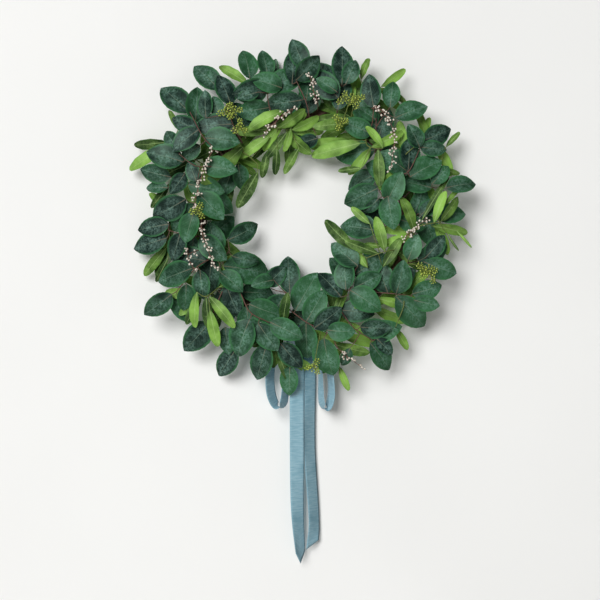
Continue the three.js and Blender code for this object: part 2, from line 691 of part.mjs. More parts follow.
// Ribbon: a turn round the vine with the knot under it, two loops and two tails
function bandSolid() {
  const inner = VINE_RADIUS + VINE_LOBE + BAND_CLEAR;
  const outline = new THREE.Shape();
  outline.absarc(0, 0, inner + RIBBON_THICKNESS, 0, 2 * Math.PI, false);
  const bore = new THREE.Path();
  bore.absarc(0, 0, inner, 0, 2 * Math.PI, true);
  outline.holes.push(bore);
  const band = new THREE.ExtrudeGeometry(outline, {
    depth: KNOT.width,
    bevelEnabled: false,
    curveSegments: 6,
  });
  band.translate(0, 0, -KNOT.width / 2);
  band.rotateY(Math.PI / 2);
  band.translate(0, 0, RING_Z - RING_RADIUS);
  return solidOf(band);
}

function knotSolid() {
  const corner = 5;
  const [x, y] = [KNOT.width / 2, KNOT.height / 2];
  const outline = new THREE.Shape();
  outline.moveTo(-x + corner, -y);
  outline.lineTo(x - corner, -y);
  outline.quadraticCurveTo(x, -y, x, -y + corner);
  outline.lineTo(x, y - corner);
  outline.quadraticCurveTo(x, y, x - corner, y);
  outline.lineTo(-x + corner, y);
  outline.quadraticCurveTo(-x, y, -x, y - corner);
  outline.lineTo(-x, -y + corner);
  outline.quadraticCurveTo(-x, -y, -x + corner, -y);
  const knot = new THREE.ExtrudeGeometry(outline, {
    depth: KNOT.depth,
    bevelEnabled: false,
    curveSegments: 2,
  });
  knot.translate(0, 0, -KNOT.depth / 2);
  knot.rotateX(Math.PI / 2);
  knot.translate(KNOT_MIDDLE.x, KNOT_MIDDLE.y, KNOT_MIDDLE.z);
  return solidOf(knot);
}

// A ribbon strip through places of the photograph, each with its depth and how far it is turned
// edge-on, in degrees
function ribbonSolid(stops) {
  const points = stops.map(([x, y, depth]) => placeOf(x, y, depth));
  const curve = new THREE.CatmullRomCurve3(points, false, "catmullrom", 0.5);
  const steps = (stops.length - 1) * RIBBON_STEPS;
  const lines = [];
  for (let i = 0; i <= steps; i += 1) {
    const at = i / steps;
    const stop = Math.min(stops.length - 2, Math.floor(at * (stops.length - 1)));
    const share = at * (stops.length - 1) - stop;
    const turn = stops[stop][3] * (1 - share) + stops[stop + 1][3] * share;
    const angle = THREE.MathUtils.degToRad(turn);
    const half = (stops[stop][4] * (1 - share) + stops[stop + 1][4] * share) / 2;
    const middle = curve.getPoint(at);
    const along = curve.getTangent(at);
    const across = new THREE.Vector3(Math.cos(angle), Math.sin(angle), 0);
    across.addScaledVector(along, -across.dot(along)).normalize();
    const normal = along.clone().cross(across);
    lines.push({
      left: middle.clone().addScaledVector(across, -half),
      right: middle.clone().addScaledVector(across, half),
      normal,
    });
  }
  return lines;
}

function ribbonPiece(name, stops, shapeEnd) {
  const lines = ribbonSolid(stops);
  if (shapeEnd) shapeEnd(lines);
  const solid = solidOf(stripGeometry(lines, RIBBON_THICKNESS));
  place(name, solid);
  addMesh(name, solid, COLOURS.ribbon, 0.6);
}

const knot = joined([bandSolid(), knotSolid()]);
place("ribbon_knot", knot);
addMesh("ribbon_knot", knot, COLOURS.ribbon, 0.6);
ribbonPiece("ribbon_loop_left", LOOP_LEFT);
ribbonPiece("ribbon_loop_right", LOOP_RIGHT);
ribbonPiece("ribbon_tail_left", TAIL_LEFT, (lines) => {
  const last = lines[lines.length - 1];
  const point = last.left.clone().lerp(last.right, 0.5);
  point.z -= TAIL_POINT;
  lines.push({ left: point, right: point, normal: last.normal });
});
ribbonPiece("ribbon_tail_right", TAIL_RIGHT, (lines) => {
  lines[lines.length - 1].left.z -= TAIL_SLANT;
});

// Stems first, so that every leaf keeps clear of them
const growths = [];
const number = (i) => String(i + 1).padStart(2, "0");

function addStem(name, level, places, radius, rest) {
  const stem = seatedStem(name, level, places, radius, ring);
  if (!stem) throw new Error(`the stem of ${name} finds no clear way`);
  place(name, stem.solid);
  growths.push({ name, ...stem, solids: [stem.solid], places, ...rest });
}

SEED_HEADS.forEach(({ stalk, heads }, i) => {
  const rest = { kind: "seed", heads, seed: 9000 + 100 * i };
  addStem(`seed_head_${number(i)}`, LEVEL.spray, stalk, TWIG_RADIUS, rest);
});
BUD_SPRAYS.forEach(({ twig, from, buds }, i) => {
  const rest = { kind: "bud", from, buds, seed: 8000 + 100 * i };
  addStem(`bud_spray_${number(i)}`, LEVEL.spray, twig, TWIG_RADIUS, rest);
});
DARK_SPRIGS.forEach(([level, places, leaves], i) => {
  const rest = { kind: "dark", leaves, seed: 1000 + 100 * i };
  addStem(`eucalyptus_sprig_${number(i)}`, LEVEL[level], places, STEM_RADIUS, rest);
});
LIGHT_SPRIGS.forEach(([level, places, leaves], i) => {
  const rest = { kind: "light", leaves, seed: 5000 + 100 * i };
  addStem(`light_leaf_sprig_${number(i)}`, LEVEL[level], places, STEM_RADIUS, rest);
});

// A seed or bud on its growth, kept only where it is clear of the other nodes
function addGrain(growth, root, tip, width) {
  const solid = solidOf(budGeometry(root, tip, width));
  if (!isClear(solid, growth.name, false)) return;
  place(growth.name, solid);
  growth.solids.push(solid);
}

function addBuds(growth) {
  const random = randomFrom(growth.seed);
  for (let i = 0; i < growth.buds; i += 1) {
    const at = growth.from + ((1 - growth.from) * (i + BUD_START)) / growth.buds;
    const row = Math.floor(at * (growth.line.length - 1));
    const [from, to] = growth.line.slice(row);
    const root = from.clone().lerp(to, at * (growth.line.length - 1) - row);
    const along = to.clone().sub(from).normalize();
    const side = new THREE.Vector3(0, -1, 0).cross(along).normalize();
    const way = side.applyAxisAngle(along, i * TURN_EACH + random()).addScaledVector(along, BUD_LEAN);
    way.y = -Math.abs(way.y);
    const size = BUD_LENGTH * (SIZE_LEAST + random() * SIZE_SPREAD);
    const tip = root.clone().addScaledVector(way.normalize(), size);
    addGrain(growth, root, tip, BUD_WIDTH);
  }
}

function addSeeds(growth) {
  growth.heads.forEach(([x, y]) => {
    const near = nearestOn(growth.line, x, y);
    const middle = placeOf(x, y, near.y - HEAD_RISE);
    const end = middle.clone().add(middle.clone().sub(near).setLength(HEAD_SINK));
    const twig = new THREE.LineCurve3(near, end);
    const solid = solidOf(stemGeometry(twig, HEAD_RADIUS, 5, 1));
    if (!isClear(solid, growth.name, false)) return;
    place(growth.name, solid);
    growth.solids.push(solid);
    for (let i = 0; i < SEEDS_A_HEAD; i += 1) {
      const fall = 1 - (HEAD_FALL * (i + 0.5)) / SEEDS_A_HEAD;
      const wide = Math.sqrt(1 - fall * fall);
      const turn = i * TURN_EACH;
      const way = new THREE.Vector3(wide * Math.cos(turn), -fall, wide * Math.sin(turn));
      const root = middle.clone().addScaledVector(way, -HEAD_RADIUS / 2);
      addGrain(growth, root, middle.clone().addScaledVector(way, SEED_LENGTH), SEED_WIDTH);
    }
  });
}

const covered = new Set();

function addLeaf(growth, leaf, seed) {
  const solid = fittedLeaf(growth.name, growth.line, leaf, seed, growth.kind);
  if (!solid) return false;
  place(growth.name, solid);
  growth.solids.push(solid);
  squaresOf(leaf, BLADES[growth.kind].ratio).forEach((square) => covered.add(square));
  return true;
}

// The filling leaf of a sprig that covers most of what is still bare, as long as it covers enough
function addFill(growth) {
  const { ratio } = BLADES[growth.kind];
  const bare = ({ leaf }) => squaresOf(leaf, ratio).filter((square) => !covered.has(square)).length;
  const ranked = growth.fill.map((one) => ({ ...one, gain: bare(one) }));
  ranked.sort((a, b) => b.gain - a.gain);
  for (const { leaf, seed, gain } of ranked) {
    if (gain < FILL_LEAST) return;
    growth.fill = growth.fill.filter((one) => one.seed !== seed);
    if (addLeaf(growth, leaf, seed)) return;
  }
}

growths.filter(({ kind }) => kind === "seed").forEach(addSeeds);
growths.filter(({ kind }) => kind === "bud").forEach(addBuds);
const leafy = growths.filter(({ kind }) => kind in BLADES);
leafy.forEach((growth) => {
  growth.leaves.forEach((leaf, i) => addLeaf(growth, leaf, growth.seed + i));
  growth.fill = fillLeaves(growth);
});
for (let round = 0; round < FILL_ROUNDS; round += 1) {
  leafy.filter(({ kind }) => round < FILL_COUNT[kind]).forEach(addFill);
}

growths.forEach(({ name, kind, solids }) => {
  addMesh(name, joined(solids), COLOURS[kind], 0.7);
});

export default wreath;
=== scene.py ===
"""Looks of a round foliage wreath with a ribbon bow, hung from a hook.

Every piece stands where its CAD solid stands. The rule that places stems and leaves works in
millimetres, X to the right, Y towards the wall and Z up. Meshes are in metres.
"""

import json
import logging
import math
import random
from dataclasses import dataclass, field
from enum import Enum
from typing import Any, Callable, Iterable, Sequence

import bmesh
import bpy
import numpy as np
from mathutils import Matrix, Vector
from mathutils.bvhtree import BVHTree

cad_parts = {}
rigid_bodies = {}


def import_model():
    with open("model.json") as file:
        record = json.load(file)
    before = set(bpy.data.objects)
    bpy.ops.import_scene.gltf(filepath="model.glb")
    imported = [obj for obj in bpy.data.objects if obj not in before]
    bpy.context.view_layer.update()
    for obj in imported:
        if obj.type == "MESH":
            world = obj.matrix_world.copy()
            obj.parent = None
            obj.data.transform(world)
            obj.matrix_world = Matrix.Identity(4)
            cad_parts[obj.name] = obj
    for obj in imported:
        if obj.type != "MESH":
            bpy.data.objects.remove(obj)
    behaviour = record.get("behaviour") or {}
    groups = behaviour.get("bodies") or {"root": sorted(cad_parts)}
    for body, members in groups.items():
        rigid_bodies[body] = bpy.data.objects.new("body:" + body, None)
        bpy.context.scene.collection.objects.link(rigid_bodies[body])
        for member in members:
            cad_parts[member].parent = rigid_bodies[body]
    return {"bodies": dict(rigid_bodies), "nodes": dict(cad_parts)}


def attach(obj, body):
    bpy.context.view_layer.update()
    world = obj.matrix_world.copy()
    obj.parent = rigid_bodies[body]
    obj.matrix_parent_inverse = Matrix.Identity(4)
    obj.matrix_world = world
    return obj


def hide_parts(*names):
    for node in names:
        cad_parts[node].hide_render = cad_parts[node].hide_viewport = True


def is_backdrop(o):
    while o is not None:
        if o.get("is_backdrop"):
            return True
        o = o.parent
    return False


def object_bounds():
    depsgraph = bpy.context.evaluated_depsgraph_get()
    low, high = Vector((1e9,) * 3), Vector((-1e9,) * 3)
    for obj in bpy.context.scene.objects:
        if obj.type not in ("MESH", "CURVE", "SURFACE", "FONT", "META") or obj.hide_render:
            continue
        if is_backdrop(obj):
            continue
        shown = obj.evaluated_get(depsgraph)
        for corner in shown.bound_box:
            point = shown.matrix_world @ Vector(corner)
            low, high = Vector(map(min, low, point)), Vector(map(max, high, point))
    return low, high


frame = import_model()

LOG = logging.getLogger("wreath")
MM = 0.001
# Samples taken along a curve to measure it, and the turn between neighbours that never repeats.
SAMPLES = np.linspace(0, 1, 201)
GOLDEN = 2.399963
TURN = 2 * math.pi
ANY_TURN = 6.28
SEED_STEP = 100
Place = tuple[float, float]
Array = np.ndarray
Thing = bpy.types.Object
Paint = bpy.types.Material
Tree = bpy.types.NodeTree
Socket = bpy.types.NodeSocket
Dressed = tuple[Socket, Socket | None]


class Layer(Enum):
    """How far a stem runs in front of the middle of the ring, in mm."""

    SPRAY = 66.0
    FRONT = 58.0
    MIDDLE = 40.0
    BACK = 22.0


class Form(Enum):
    """The outline of a leaf's blade."""

    BROAD = "broad"
    LONG = "long"
    NARROW = "narrow"


@dataclass(frozen=True)
class Blade:
    """A blade's outline.

    Attributes:
        at: shares of the length where the solid's outline has its corners.
        half: half-width at those shares, as a share of the widest half-width.
        ratio: width over length.
        outline: (share of the length, share of the half-width) of the drawn leaf.
        cup: how far the halves fold up from the midrib, as a share of their width.
        wave: height of the waves along the edge, in mm.
        waves: how many waves run along an edge.
    """

    at: tuple[float, ...]
    half: tuple[float, ...]
    ratio: float
    outline: tuple[Place, ...]
    cup: float
    wave: float
    waves: float


BROAD_OUTLINE = (
    (0, 0), (0.05, 0.36), (0.13, 0.68), (0.25, 0.92), (0.4, 1.02), (0.56, 0.97),
    (0.71, 0.8), (0.84, 0.54), (0.94, 0.24), (1, 0),
)
LONG_OUTLINE = (
    (0, 0), (0.05, 0.24), (0.14, 0.55), (0.28, 0.83), (0.45, 0.99), (0.6, 0.99),
    (0.75, 0.88), (0.88, 0.66), (0.96, 0.38), (1, 0),
)
BLADES = {
    Form.BROAD: Blade((0.18, 0.5, 0.82), (0.7, 1, 0.64), 0.62, BROAD_OUTLINE, 0.2, 0.8, 1.4),
    Form.LONG: Blade((0.16, 0.52, 0.86), (0.62, 1, 0.7), 0.29, LONG_OUTLINE, 0.22, 0.9, 3.2),
    Form.NARROW: Blade((0.16, 0.52, 0.86), (0.62, 1, 0.6), 0.12, LONG_OUTLINE, 0.1, 0.4, 2.0),
}

# The wreath's lists: a sprig is its layer, the places that its stem passes, and each leaf's tip
# and base as places in the photograph, with the blade's form where it differs.
FRONT, MIDDLE, BACK = Layer.FRONT, Layer.MIDDLE, Layer.BACK
BROAD, LONG, NARROW = Form
EUCALYPTUS_SPRIGS = [
    [FRONT, [[222, 154], [204, 138], [190, 112]],
        [[161, 88, 190, 113], [172, 118, 200, 131], [181, 160, 200, 145], [206, 134, 214, 158]]],
    [FRONT, [[216, 166], [196, 166], [179, 154]],
        [[146, 152, 183, 162], [166, 131, 179, 151], [189, 161, 197, 182]]],
    [MIDDLE, [[206, 190], [188, 184], [172, 178]],
        [[140, 169, 171, 177], [170, 194, 185, 173], [146, 188, 168, 188]]],
    [FRONT, [[204, 208], [196, 204], [188, 202]],
        [[153, 217, 186, 199], [185, 243, 194, 212], [224, 220, 198, 193]]],
    [MIDDLE, [[206, 236], [188, 236], [168, 230]],
        [[138, 230, 169, 224], [134, 249, 167, 238], [172, 261, 180, 233], [246, 265, 210, 235, LONG]]],
    [FRONT, [[212, 258], [196, 268], [176, 292]],
        [[158, 282, 193, 268], [144, 315, 172, 294], [184, 311, 186, 284], [204, 300, 200, 270]]],
    [MIDDLE, [[226, 284], [216, 306], [212, 324], [234, 348]],
        [[184, 351, 210, 322], [234, 319, 218, 290], [229, 355, 225, 327], [219, 376, 236, 349]]],
    [FRONT, [[240, 292], [250, 312], [268, 322]],
        [[282, 316, 249, 304], [238, 357, 250, 319], [278, 351, 258, 323], [303, 338, 270, 322]]],
    [FRONT, [[290, 318], [282, 334], [270, 344]],
        [[257, 380, 267, 344], [302, 368, 280, 343]]],
    [FRONT, [[284, 306], [306, 322], [328, 333]],
        [[342, 307, 314, 328], [356, 332, 327, 330], [333, 376, 324, 338], [318, 272, 295, 311]]],
    [FRONT, [[340, 310], [354, 328], [374, 341]],
        [[392, 328, 360, 327], [390, 370, 370, 343], [392, 355, 376, 338], [342, 366, 350, 348]]],
    [FRONT, [[372, 292], [396, 294], [412, 296]],
        [[425, 327, 396, 296], [442, 285, 412, 294], [440, 306, 414, 300], [342, 314, 374, 306]]],
    [FRONT, [[352, 300], [350, 290], [356, 268]],
        [[382, 274, 354, 288], [345, 258, 346, 290], [318, 273, 341, 297], [331, 243, 358, 266]]],
    [FRONT, [[390, 270], [404, 264], [424, 260]],
        [[418, 234, 408, 260], [445, 235, 426, 257], [457, 274, 424, 262], [416, 269, 389, 288]]],
    [FRONT, [[402, 224], [390, 208], [380, 192]],
        [[340, 226, 378, 231], [394, 230, 388, 196], [344, 204, 378, 188], [364, 212, 379, 198]]],
    [MIDDLE, [[410, 226], [418, 214], [434, 214]],
        [[424, 186, 413, 217], [466, 214, 434, 216], [440, 200, 420, 216]]],
    [FRONT, [[402, 200], [416, 188], [440, 188]],
        [[476, 184, 446, 188], [449, 166, 432, 184], [372, 168, 399, 190], [406, 178, 416, 208]]],
    [FRONT, [[394, 172], [408, 172], [421, 146]],
        [[409, 138, 408, 171], [442, 160, 410, 177], [451, 129, 422, 141], [447, 150, 420, 147],
            [408, 124, 420, 148]]],
    [MIDDLE, [[382, 158], [377, 142], [376, 118]],
        [[335, 157, 375, 150], [359, 108, 376, 120], [348, 190, 376, 174], [404, 158, 380, 152]]],
    [FRONT, [[372, 134], [382, 118], [391, 106]],
        [[428, 106, 395, 118], [393, 81, 390, 108], [369, 74, 374, 108]]],
    [FRONT, [[336, 122], [338, 104], [340, 86]],
        [[342, 46, 342, 84], [316, 78, 337, 92], [356, 60, 346, 84], [312, 89, 330, 123]]],
    [FRONT, [[310, 120], [306, 102], [296, 80]],
        [[293, 50, 292, 84], [292, 39, 305, 70], [264, 105, 302, 100, 12], [284, 117, 316, 126],
            [296, 144, 318, 138]]],
    [FRONT, [[274, 122], [268, 100], [268, 80]],
        [[262, 50, 268, 77], [243, 50, 250, 79], [251, 78, 282, 88], [237, 99, 259, 92]]],
    [FRONT, [[242, 142], [232, 122], [224, 96]],
        [[218, 75, 231, 105], [194, 66, 220, 90], [194, 127, 233, 124], [205, 90, 206, 118],
            [213, 96, 221, 118]]],
    [MIDDLE, [[212, 256], [224, 256], [230, 250]],
        [[258, 224, 228, 240], [259, 262, 232, 256], [270, 274, 223, 266], [243, 292, 220, 272]]],
    [MIDDLE, [[280, 310], [284, 300], [286, 292]],
        [[288, 256, 290, 294], [286, 266, 266, 286], [251, 286, 274, 280]]],
]
LIGHT_SPRIGS = [
    [BACK, [[208, 168], [190, 156], [168, 144]],
        [[134, 145, 167, 142], [129, 170, 166, 147], [169, 110, 178, 130]]],
    [BACK, [[196, 214], [174, 216], [168, 248]],
        [[151, 208, 169, 184], [144, 276, 167, 247], [156, 282, 168, 258]]],
    [MIDDLE, [[230, 156], [242, 152], [258, 164]],
        [[201, 184, 243, 147], [240, 158, 270, 136], [237, 208, 258, 172], [229, 205, 232, 174],
            [242, 190, 238, 164, BROAD], [222, 196, 232, 170, BROAD]]],
    [MIDDLE, [[266, 128], [278, 128], [292, 130]],
        [[248, 130, 284, 111], [263, 151, 284, 122], [267, 158, 287, 132], [284, 152, 291, 128],
            [284, 174, 299, 148], [275, 175, 277, 148], [262, 178, 268, 150]]],
    [MIDDLE, [[258, 118], [252, 100], [248, 84]],
        [[219, 66, 248, 84]]],
    [MIDDLE, [[350, 122], [358, 98], [380, 88]],
        [[352, 75, 354, 100], [369, 58, 361, 80], [406, 69, 381, 87]]],
    [FRONT, [[366, 140], [368, 146], [378, 149]],
        [[345, 103, 367, 137], [366, 126, 383, 148], [306, 145, 351, 140], [311, 156, 361, 143],
            [338, 171, 361, 168]]],
    [MIDDLE, [[400, 166], [404, 156], [424, 142], [446, 148]],
        [[403, 126, 397, 155], [430, 117, 420, 141], [460, 132, 446, 147], [460, 174, 438, 168]]],
    [FRONT, [[412, 236], [420, 226], [440, 222]],
        [[468, 233, 432, 226], [449, 177, 422, 220, NARROW], [465, 181, 438, 211, NARROW],
            [459, 251, 447, 233, NARROW], [472, 248, 456, 230, NARROW]]],
    [FRONT, [[396, 250], [384, 252], [366, 258]],
        [[400, 206, 402, 235], [401, 238, 383, 267], [325, 220, 356, 250], [350, 243, 368, 268],
            [364, 244, 384, 246], [351, 207, 370, 224]]],
    [FRONT, [[372, 306], [374, 300], [377, 297]],
        [[354, 308, 377, 298], [408, 307, 377, 298], [337, 301, 360, 292]]],
    [MIDDLE, [[396, 284], [404, 302], [396, 326]],
        [[408, 350, 395, 328], [459, 304, 438, 290]]],
    [MIDDLE, [[336, 318], [342, 330], [342, 348]],
        [[369, 338, 351, 322], [370, 353, 334, 344], [349, 391, 339, 366]]],
    [FRONT, [[218, 288], [208, 296], [202, 296]],
        [[195, 328, 197, 292], [218, 347, 210, 310], [235, 328, 209, 296]]],
    [MIDDLE, [[284, 324], [280, 338], [280, 350]],
        [[288, 380, 277, 351], [289, 396, 290, 366, BROAD]]],
]
# A bud spray is the places of its twig, the share where buds begin, and how many its solid has.
BUD_SPRAYS = [
    ([[222, 148], [212, 152], [201, 178], [194, 204]], 0.3, 11),
    ([[202, 220], [202, 232], [208, 250], [215, 268]], 0.3, 9),
    ([[290, 116], [292, 109], [280, 118], [265, 132]], 0.35, 8),
    ([[318, 104], [314, 92], [310, 76]], 0.45, 6),
    ([[372, 124], [376, 106], [394, 132], [391, 168]], 0.3, 12),
    ([[404, 242], [408, 234], [424, 221]], 0.4, 7),
    ([[330, 326], [338, 348], [360, 366]], 0.6, 4),
    ([[200, 250], [188, 256], [196, 272]], 0.4, 4),
]
# A seed head is the places of its stalk and the places of its heads.
SEED_HEADS = [
    ([[246, 138], [240, 126], [234, 111]], [[234, 110], [240, 127], [226, 112]]),
    ([[340, 128], [346, 112], [350, 98]], [[340, 122], [345, 99], [357, 100]]),
    ([[398, 268], [412, 264], [430, 272]], [[431, 275], [424, 270]]),
    ([[204, 216], [200, 212], [197, 210]], [[198, 211]]),
    ([[322, 326], [318, 344], [314, 366]], [[314, 367]]),
]
# A ribbon's stops: place in the photograph, depth, degrees that its width is turned, and width.
LOOP_LEFT = [
    [297.5, 330, -4, 90, 22],
    [287, 331, -4, 84, 25],
    [277, 344, -12, 68, 25],
    [270.5, 370, -15, 56, 25],
    [271, 393, -15, 52, 25],
    [277, 406, -14, 52, 25],
    [284, 401, -12, 56, 25],
    [285.5, 376, -9, 66, 25],
    [286.5, 350, -6, 76, 25],
    [290, 337.5, -4, 86, 24],
    [297.5, 335.6, -4, 90, 22],
]
LOOP_RIGHT = [
    [308.5, 330, -4, 90, 22],
    [318, 331.5, -4, 96, 25],
    [325, 346, -12, 108, 25],
    [330, 372, -15, 116, 25],
    [331, 396, -15, 120, 25],
    [327, 408, -14, 118, 25],
    [321.5, 402, -12, 114, 25],
    [320.5, 376, -9, 106, 25],
    [319, 350, -6, 100, 25],
    [315.5, 337.5, -4, 94, 24],
    [308.5, 335.6, -4, 90, 22],
]
TAIL_LEFT = [
    [301.2, 337.55, -9, 0, 12],
    [298.5, 356, -9, 4, 20],
    [297, 374, -9, 6, 25],
    [297, 450, -9, 10, 25],
    [297.5, 510, -7, 25, 25],
    [300.5, 552, -5, 50, 25],
]
TAIL_RIGHT = [
    [305, 337.35, 3, 10, 12],
    [308, 356, 3, 24, 20],
    [310, 378, 3, 36, 25],
    [310, 450, 4, 40, 25],
    [314, 519, 4, 40, 25],
    [312.5, 540, 3, 30, 25],
]


@dataclass(frozen=True)
class Picture:
    """How a place in the photograph becomes a place on the wreath, in mm."""

    middle: float = 300.0
    ring_x: float = 303.0
    ring_y: float = 217.0
    scale: float = 1.743
    distance: float = 2470.0
    ring_radius: float = 180.0
    ring_z: float = -168.0
    dome_width: float = 136.0
    dome_least: float = 0.35

    def aim(self) -> Place:
        """Returns the X and Z that the view is aimed at, in mm."""
        x = (self.middle - self.ring_x) * self.scale
        return x, (self.ring_y - self.middle) * self.scale + self.ring_z

    def place(self, x: float, y: float, depth: Any) -> Array:
        """Puts a place of the photograph at a depth.

        Args:
            x: place across the photograph.
            y: place down the photograph.
            depth: one depth behind the ring's middle plane, in mm, or an array of them.

        Returns:
            The point, or one row for each depth.
        """
        aim_x, aim_z = self.aim()
        near = self.scale * (self.distance + np.asarray(depth, float)) / self.distance
        across = aim_x + (x - self.middle) * near
        return np.stack([across, depth + 0 * near, aim_z - (y - self.middle) * near], axis=-1)

    def ring_middle(self, point: Array) -> Array:
        """Returns the point of the ring's middle line nearest to a point."""
        angle = math.atan2(point[0], point[2] - self.ring_z)
        reach = self.ring_radius
        return np.array([reach * math.sin(angle), 0.0, self.ring_z + reach * math.cos(angle)])

    def from_ring(self, x: float, y: float) -> float:
        """Returns how far a place of the photograph is from the ring's centre, in mm."""
        return math.hypot(x - self.ring_x, y - self.ring_y) * self.scale

    def dome(self, x: float, y: float) -> float:
        """Returns how much of a layer's height is left at a place: full over the ring."""
        beside = (self.from_ring(x, y) - self.ring_radius) / self.dome_width
        return max(self.dome_least, math.sqrt(max(0.0, 1 - beside * beside)))


PICTURE = Picture()
VINE_RADIUS = 10.4
VINE_LOBE = 1.6


class Draws:
    """Small repeatable random numbers, the same ones that placed the solid's leaves."""

    MASK = 0xFFFFFFFF

    def __init__(self, seed: int) -> None:
        """Starts a run of numbers at a seed."""
        self.state = seed & self.MASK

    def __call__(self) -> float:
        """Returns the next number, from 0 to 1."""
        self.state = (self.state + 0x6D2B79F5) & self.MASK
        t = self.state
        t = ((t ^ (t >> 15)) * (t | 1)) & self.MASK
        t ^= (t + (((t ^ (t >> 7)) * (t | 61)) & self.MASK)) & self.MASK
        return (t ^ (t >> 14)) / 4294967296


def curve_at(points: Array, at: Array) -> Array:
    """Works out points of a smooth curve through the given ones.

    Args:
        points: the points that it passes.
        at: shares of the way, from 0 to 1.

    Returns:
        One row for each share.
    """
    last = len(points) - 1
    place = np.clip(np.asarray(at, float) * last, 0, last)
    row = np.minimum(np.floor(place).astype(int), last - 1)
    w = (place - row)[:, None]
    ends = np.vstack([2 * points[0] - points[1], points, 2 * points[-1] - points[-2]])
    p0, p1, p2, p3 = ends[row], ends[row + 1], ends[row + 2], ends[row + 3]
    leave, arrive = 0.5 * (p2 - p0), 0.5 * (p3 - p1)
    bend = -3 * p1 + 3 * p2 - 2 * leave - arrive
    return p1 + leave * w + bend * w**2 + (2 * p1 - 2 * p2 + leave + arrive) * w**3


def spaced(points: Array, divisions: int) -> Array:
    """Returns points of the smooth curve at equal distances along it."""
    run = run_of(curve_at(points, SAMPLES))
    return curve_at(points, np.interp(np.linspace(0, run[-1], divisions + 1), run, SAMPLES))


def run_of(points: Array) -> Array:
    """Returns the distance run at each point of a line."""
    steps = np.linalg.norm(np.diff(points, axis=0), axis=1)
    return np.concatenate([[0.0], np.cumsum(steps)])


def unit(way: Array) -> Array:
    """Returns a direction, or rows of them, at length 1."""
    return way / np.maximum(np.linalg.norm(way, axis=-1, keepdims=True), 1e-9)


def turned(way: Array, axis: Array, angle: float) -> Array:
    """Returns a direction turned about an axis, which needn't be square to it."""
    level = axis * float(way @ axis)
    return level + (way - level) * math.cos(angle) + np.cross(axis, way) * math.sin(angle)


@dataclass
class Leaf:
    """One leaf in place, in mm: from the stem at root, along its blade from base to tip."""

    root: Array
    base: Array
    tip: Array
    roll: float
    arch: float
    half: float
    form: Form
    tone: float = 0.5

    CURL = 0.05
    CURL_FROM = 0.3
    FOLD_LEAST = 0.4
    FOLD_SPREAD = 1.2

    def curl(self) -> float:
        """Returns how far the tip curls back, as a share of the length."""
        return self.CURL * (self.tone - self.CURL_FROM)

    def fold(self) -> float:
        """Returns how far the blade's two halves fold up, as a share of its form's cup."""
        return self.FOLD_LEAST + self.FOLD_SPREAD * self.tone

    def rise(self, at: float, length: float) -> float:
        """Returns how far the midrib stands off its straight line, at a share of the length."""
        return self.arch * length * 4 * at * (1 - at) - at**3 * length * self.curl()

    def frame(self) -> tuple[Array, Array, float]:
        """Returns the blade's axis, the way that its face looks, and its length."""
        way = self.tip - self.base
        length = float(np.linalg.norm(way))
        axis = way / length
        face = unit(np.array([0.0, -1.0, 0.0]) + axis * axis[1])
        return axis, turned(face, axis, self.roll), length

    def corners(self) -> Array:
        """Returns the outline corners that the leaf's solid has, on both faces."""
        axis, face, length = self.frame()
        side = np.cross(face, axis)
        blade = BLADES[self.form]
        found = [self.tip]
        for at, share in zip(blade.at, blade.half):
            lift = face * (self.arch * length * 4 * at * (1 - at))
            middle = self.base + axis * (at * length) + lift
            found += [middle + side * (sign * self.half * share) for sign in (-1, 1)]
        rows = np.array(found)
        return np.vstack([rows + face * Growth.HALF_THICK, rows - face * Growth.HALF_THICK])


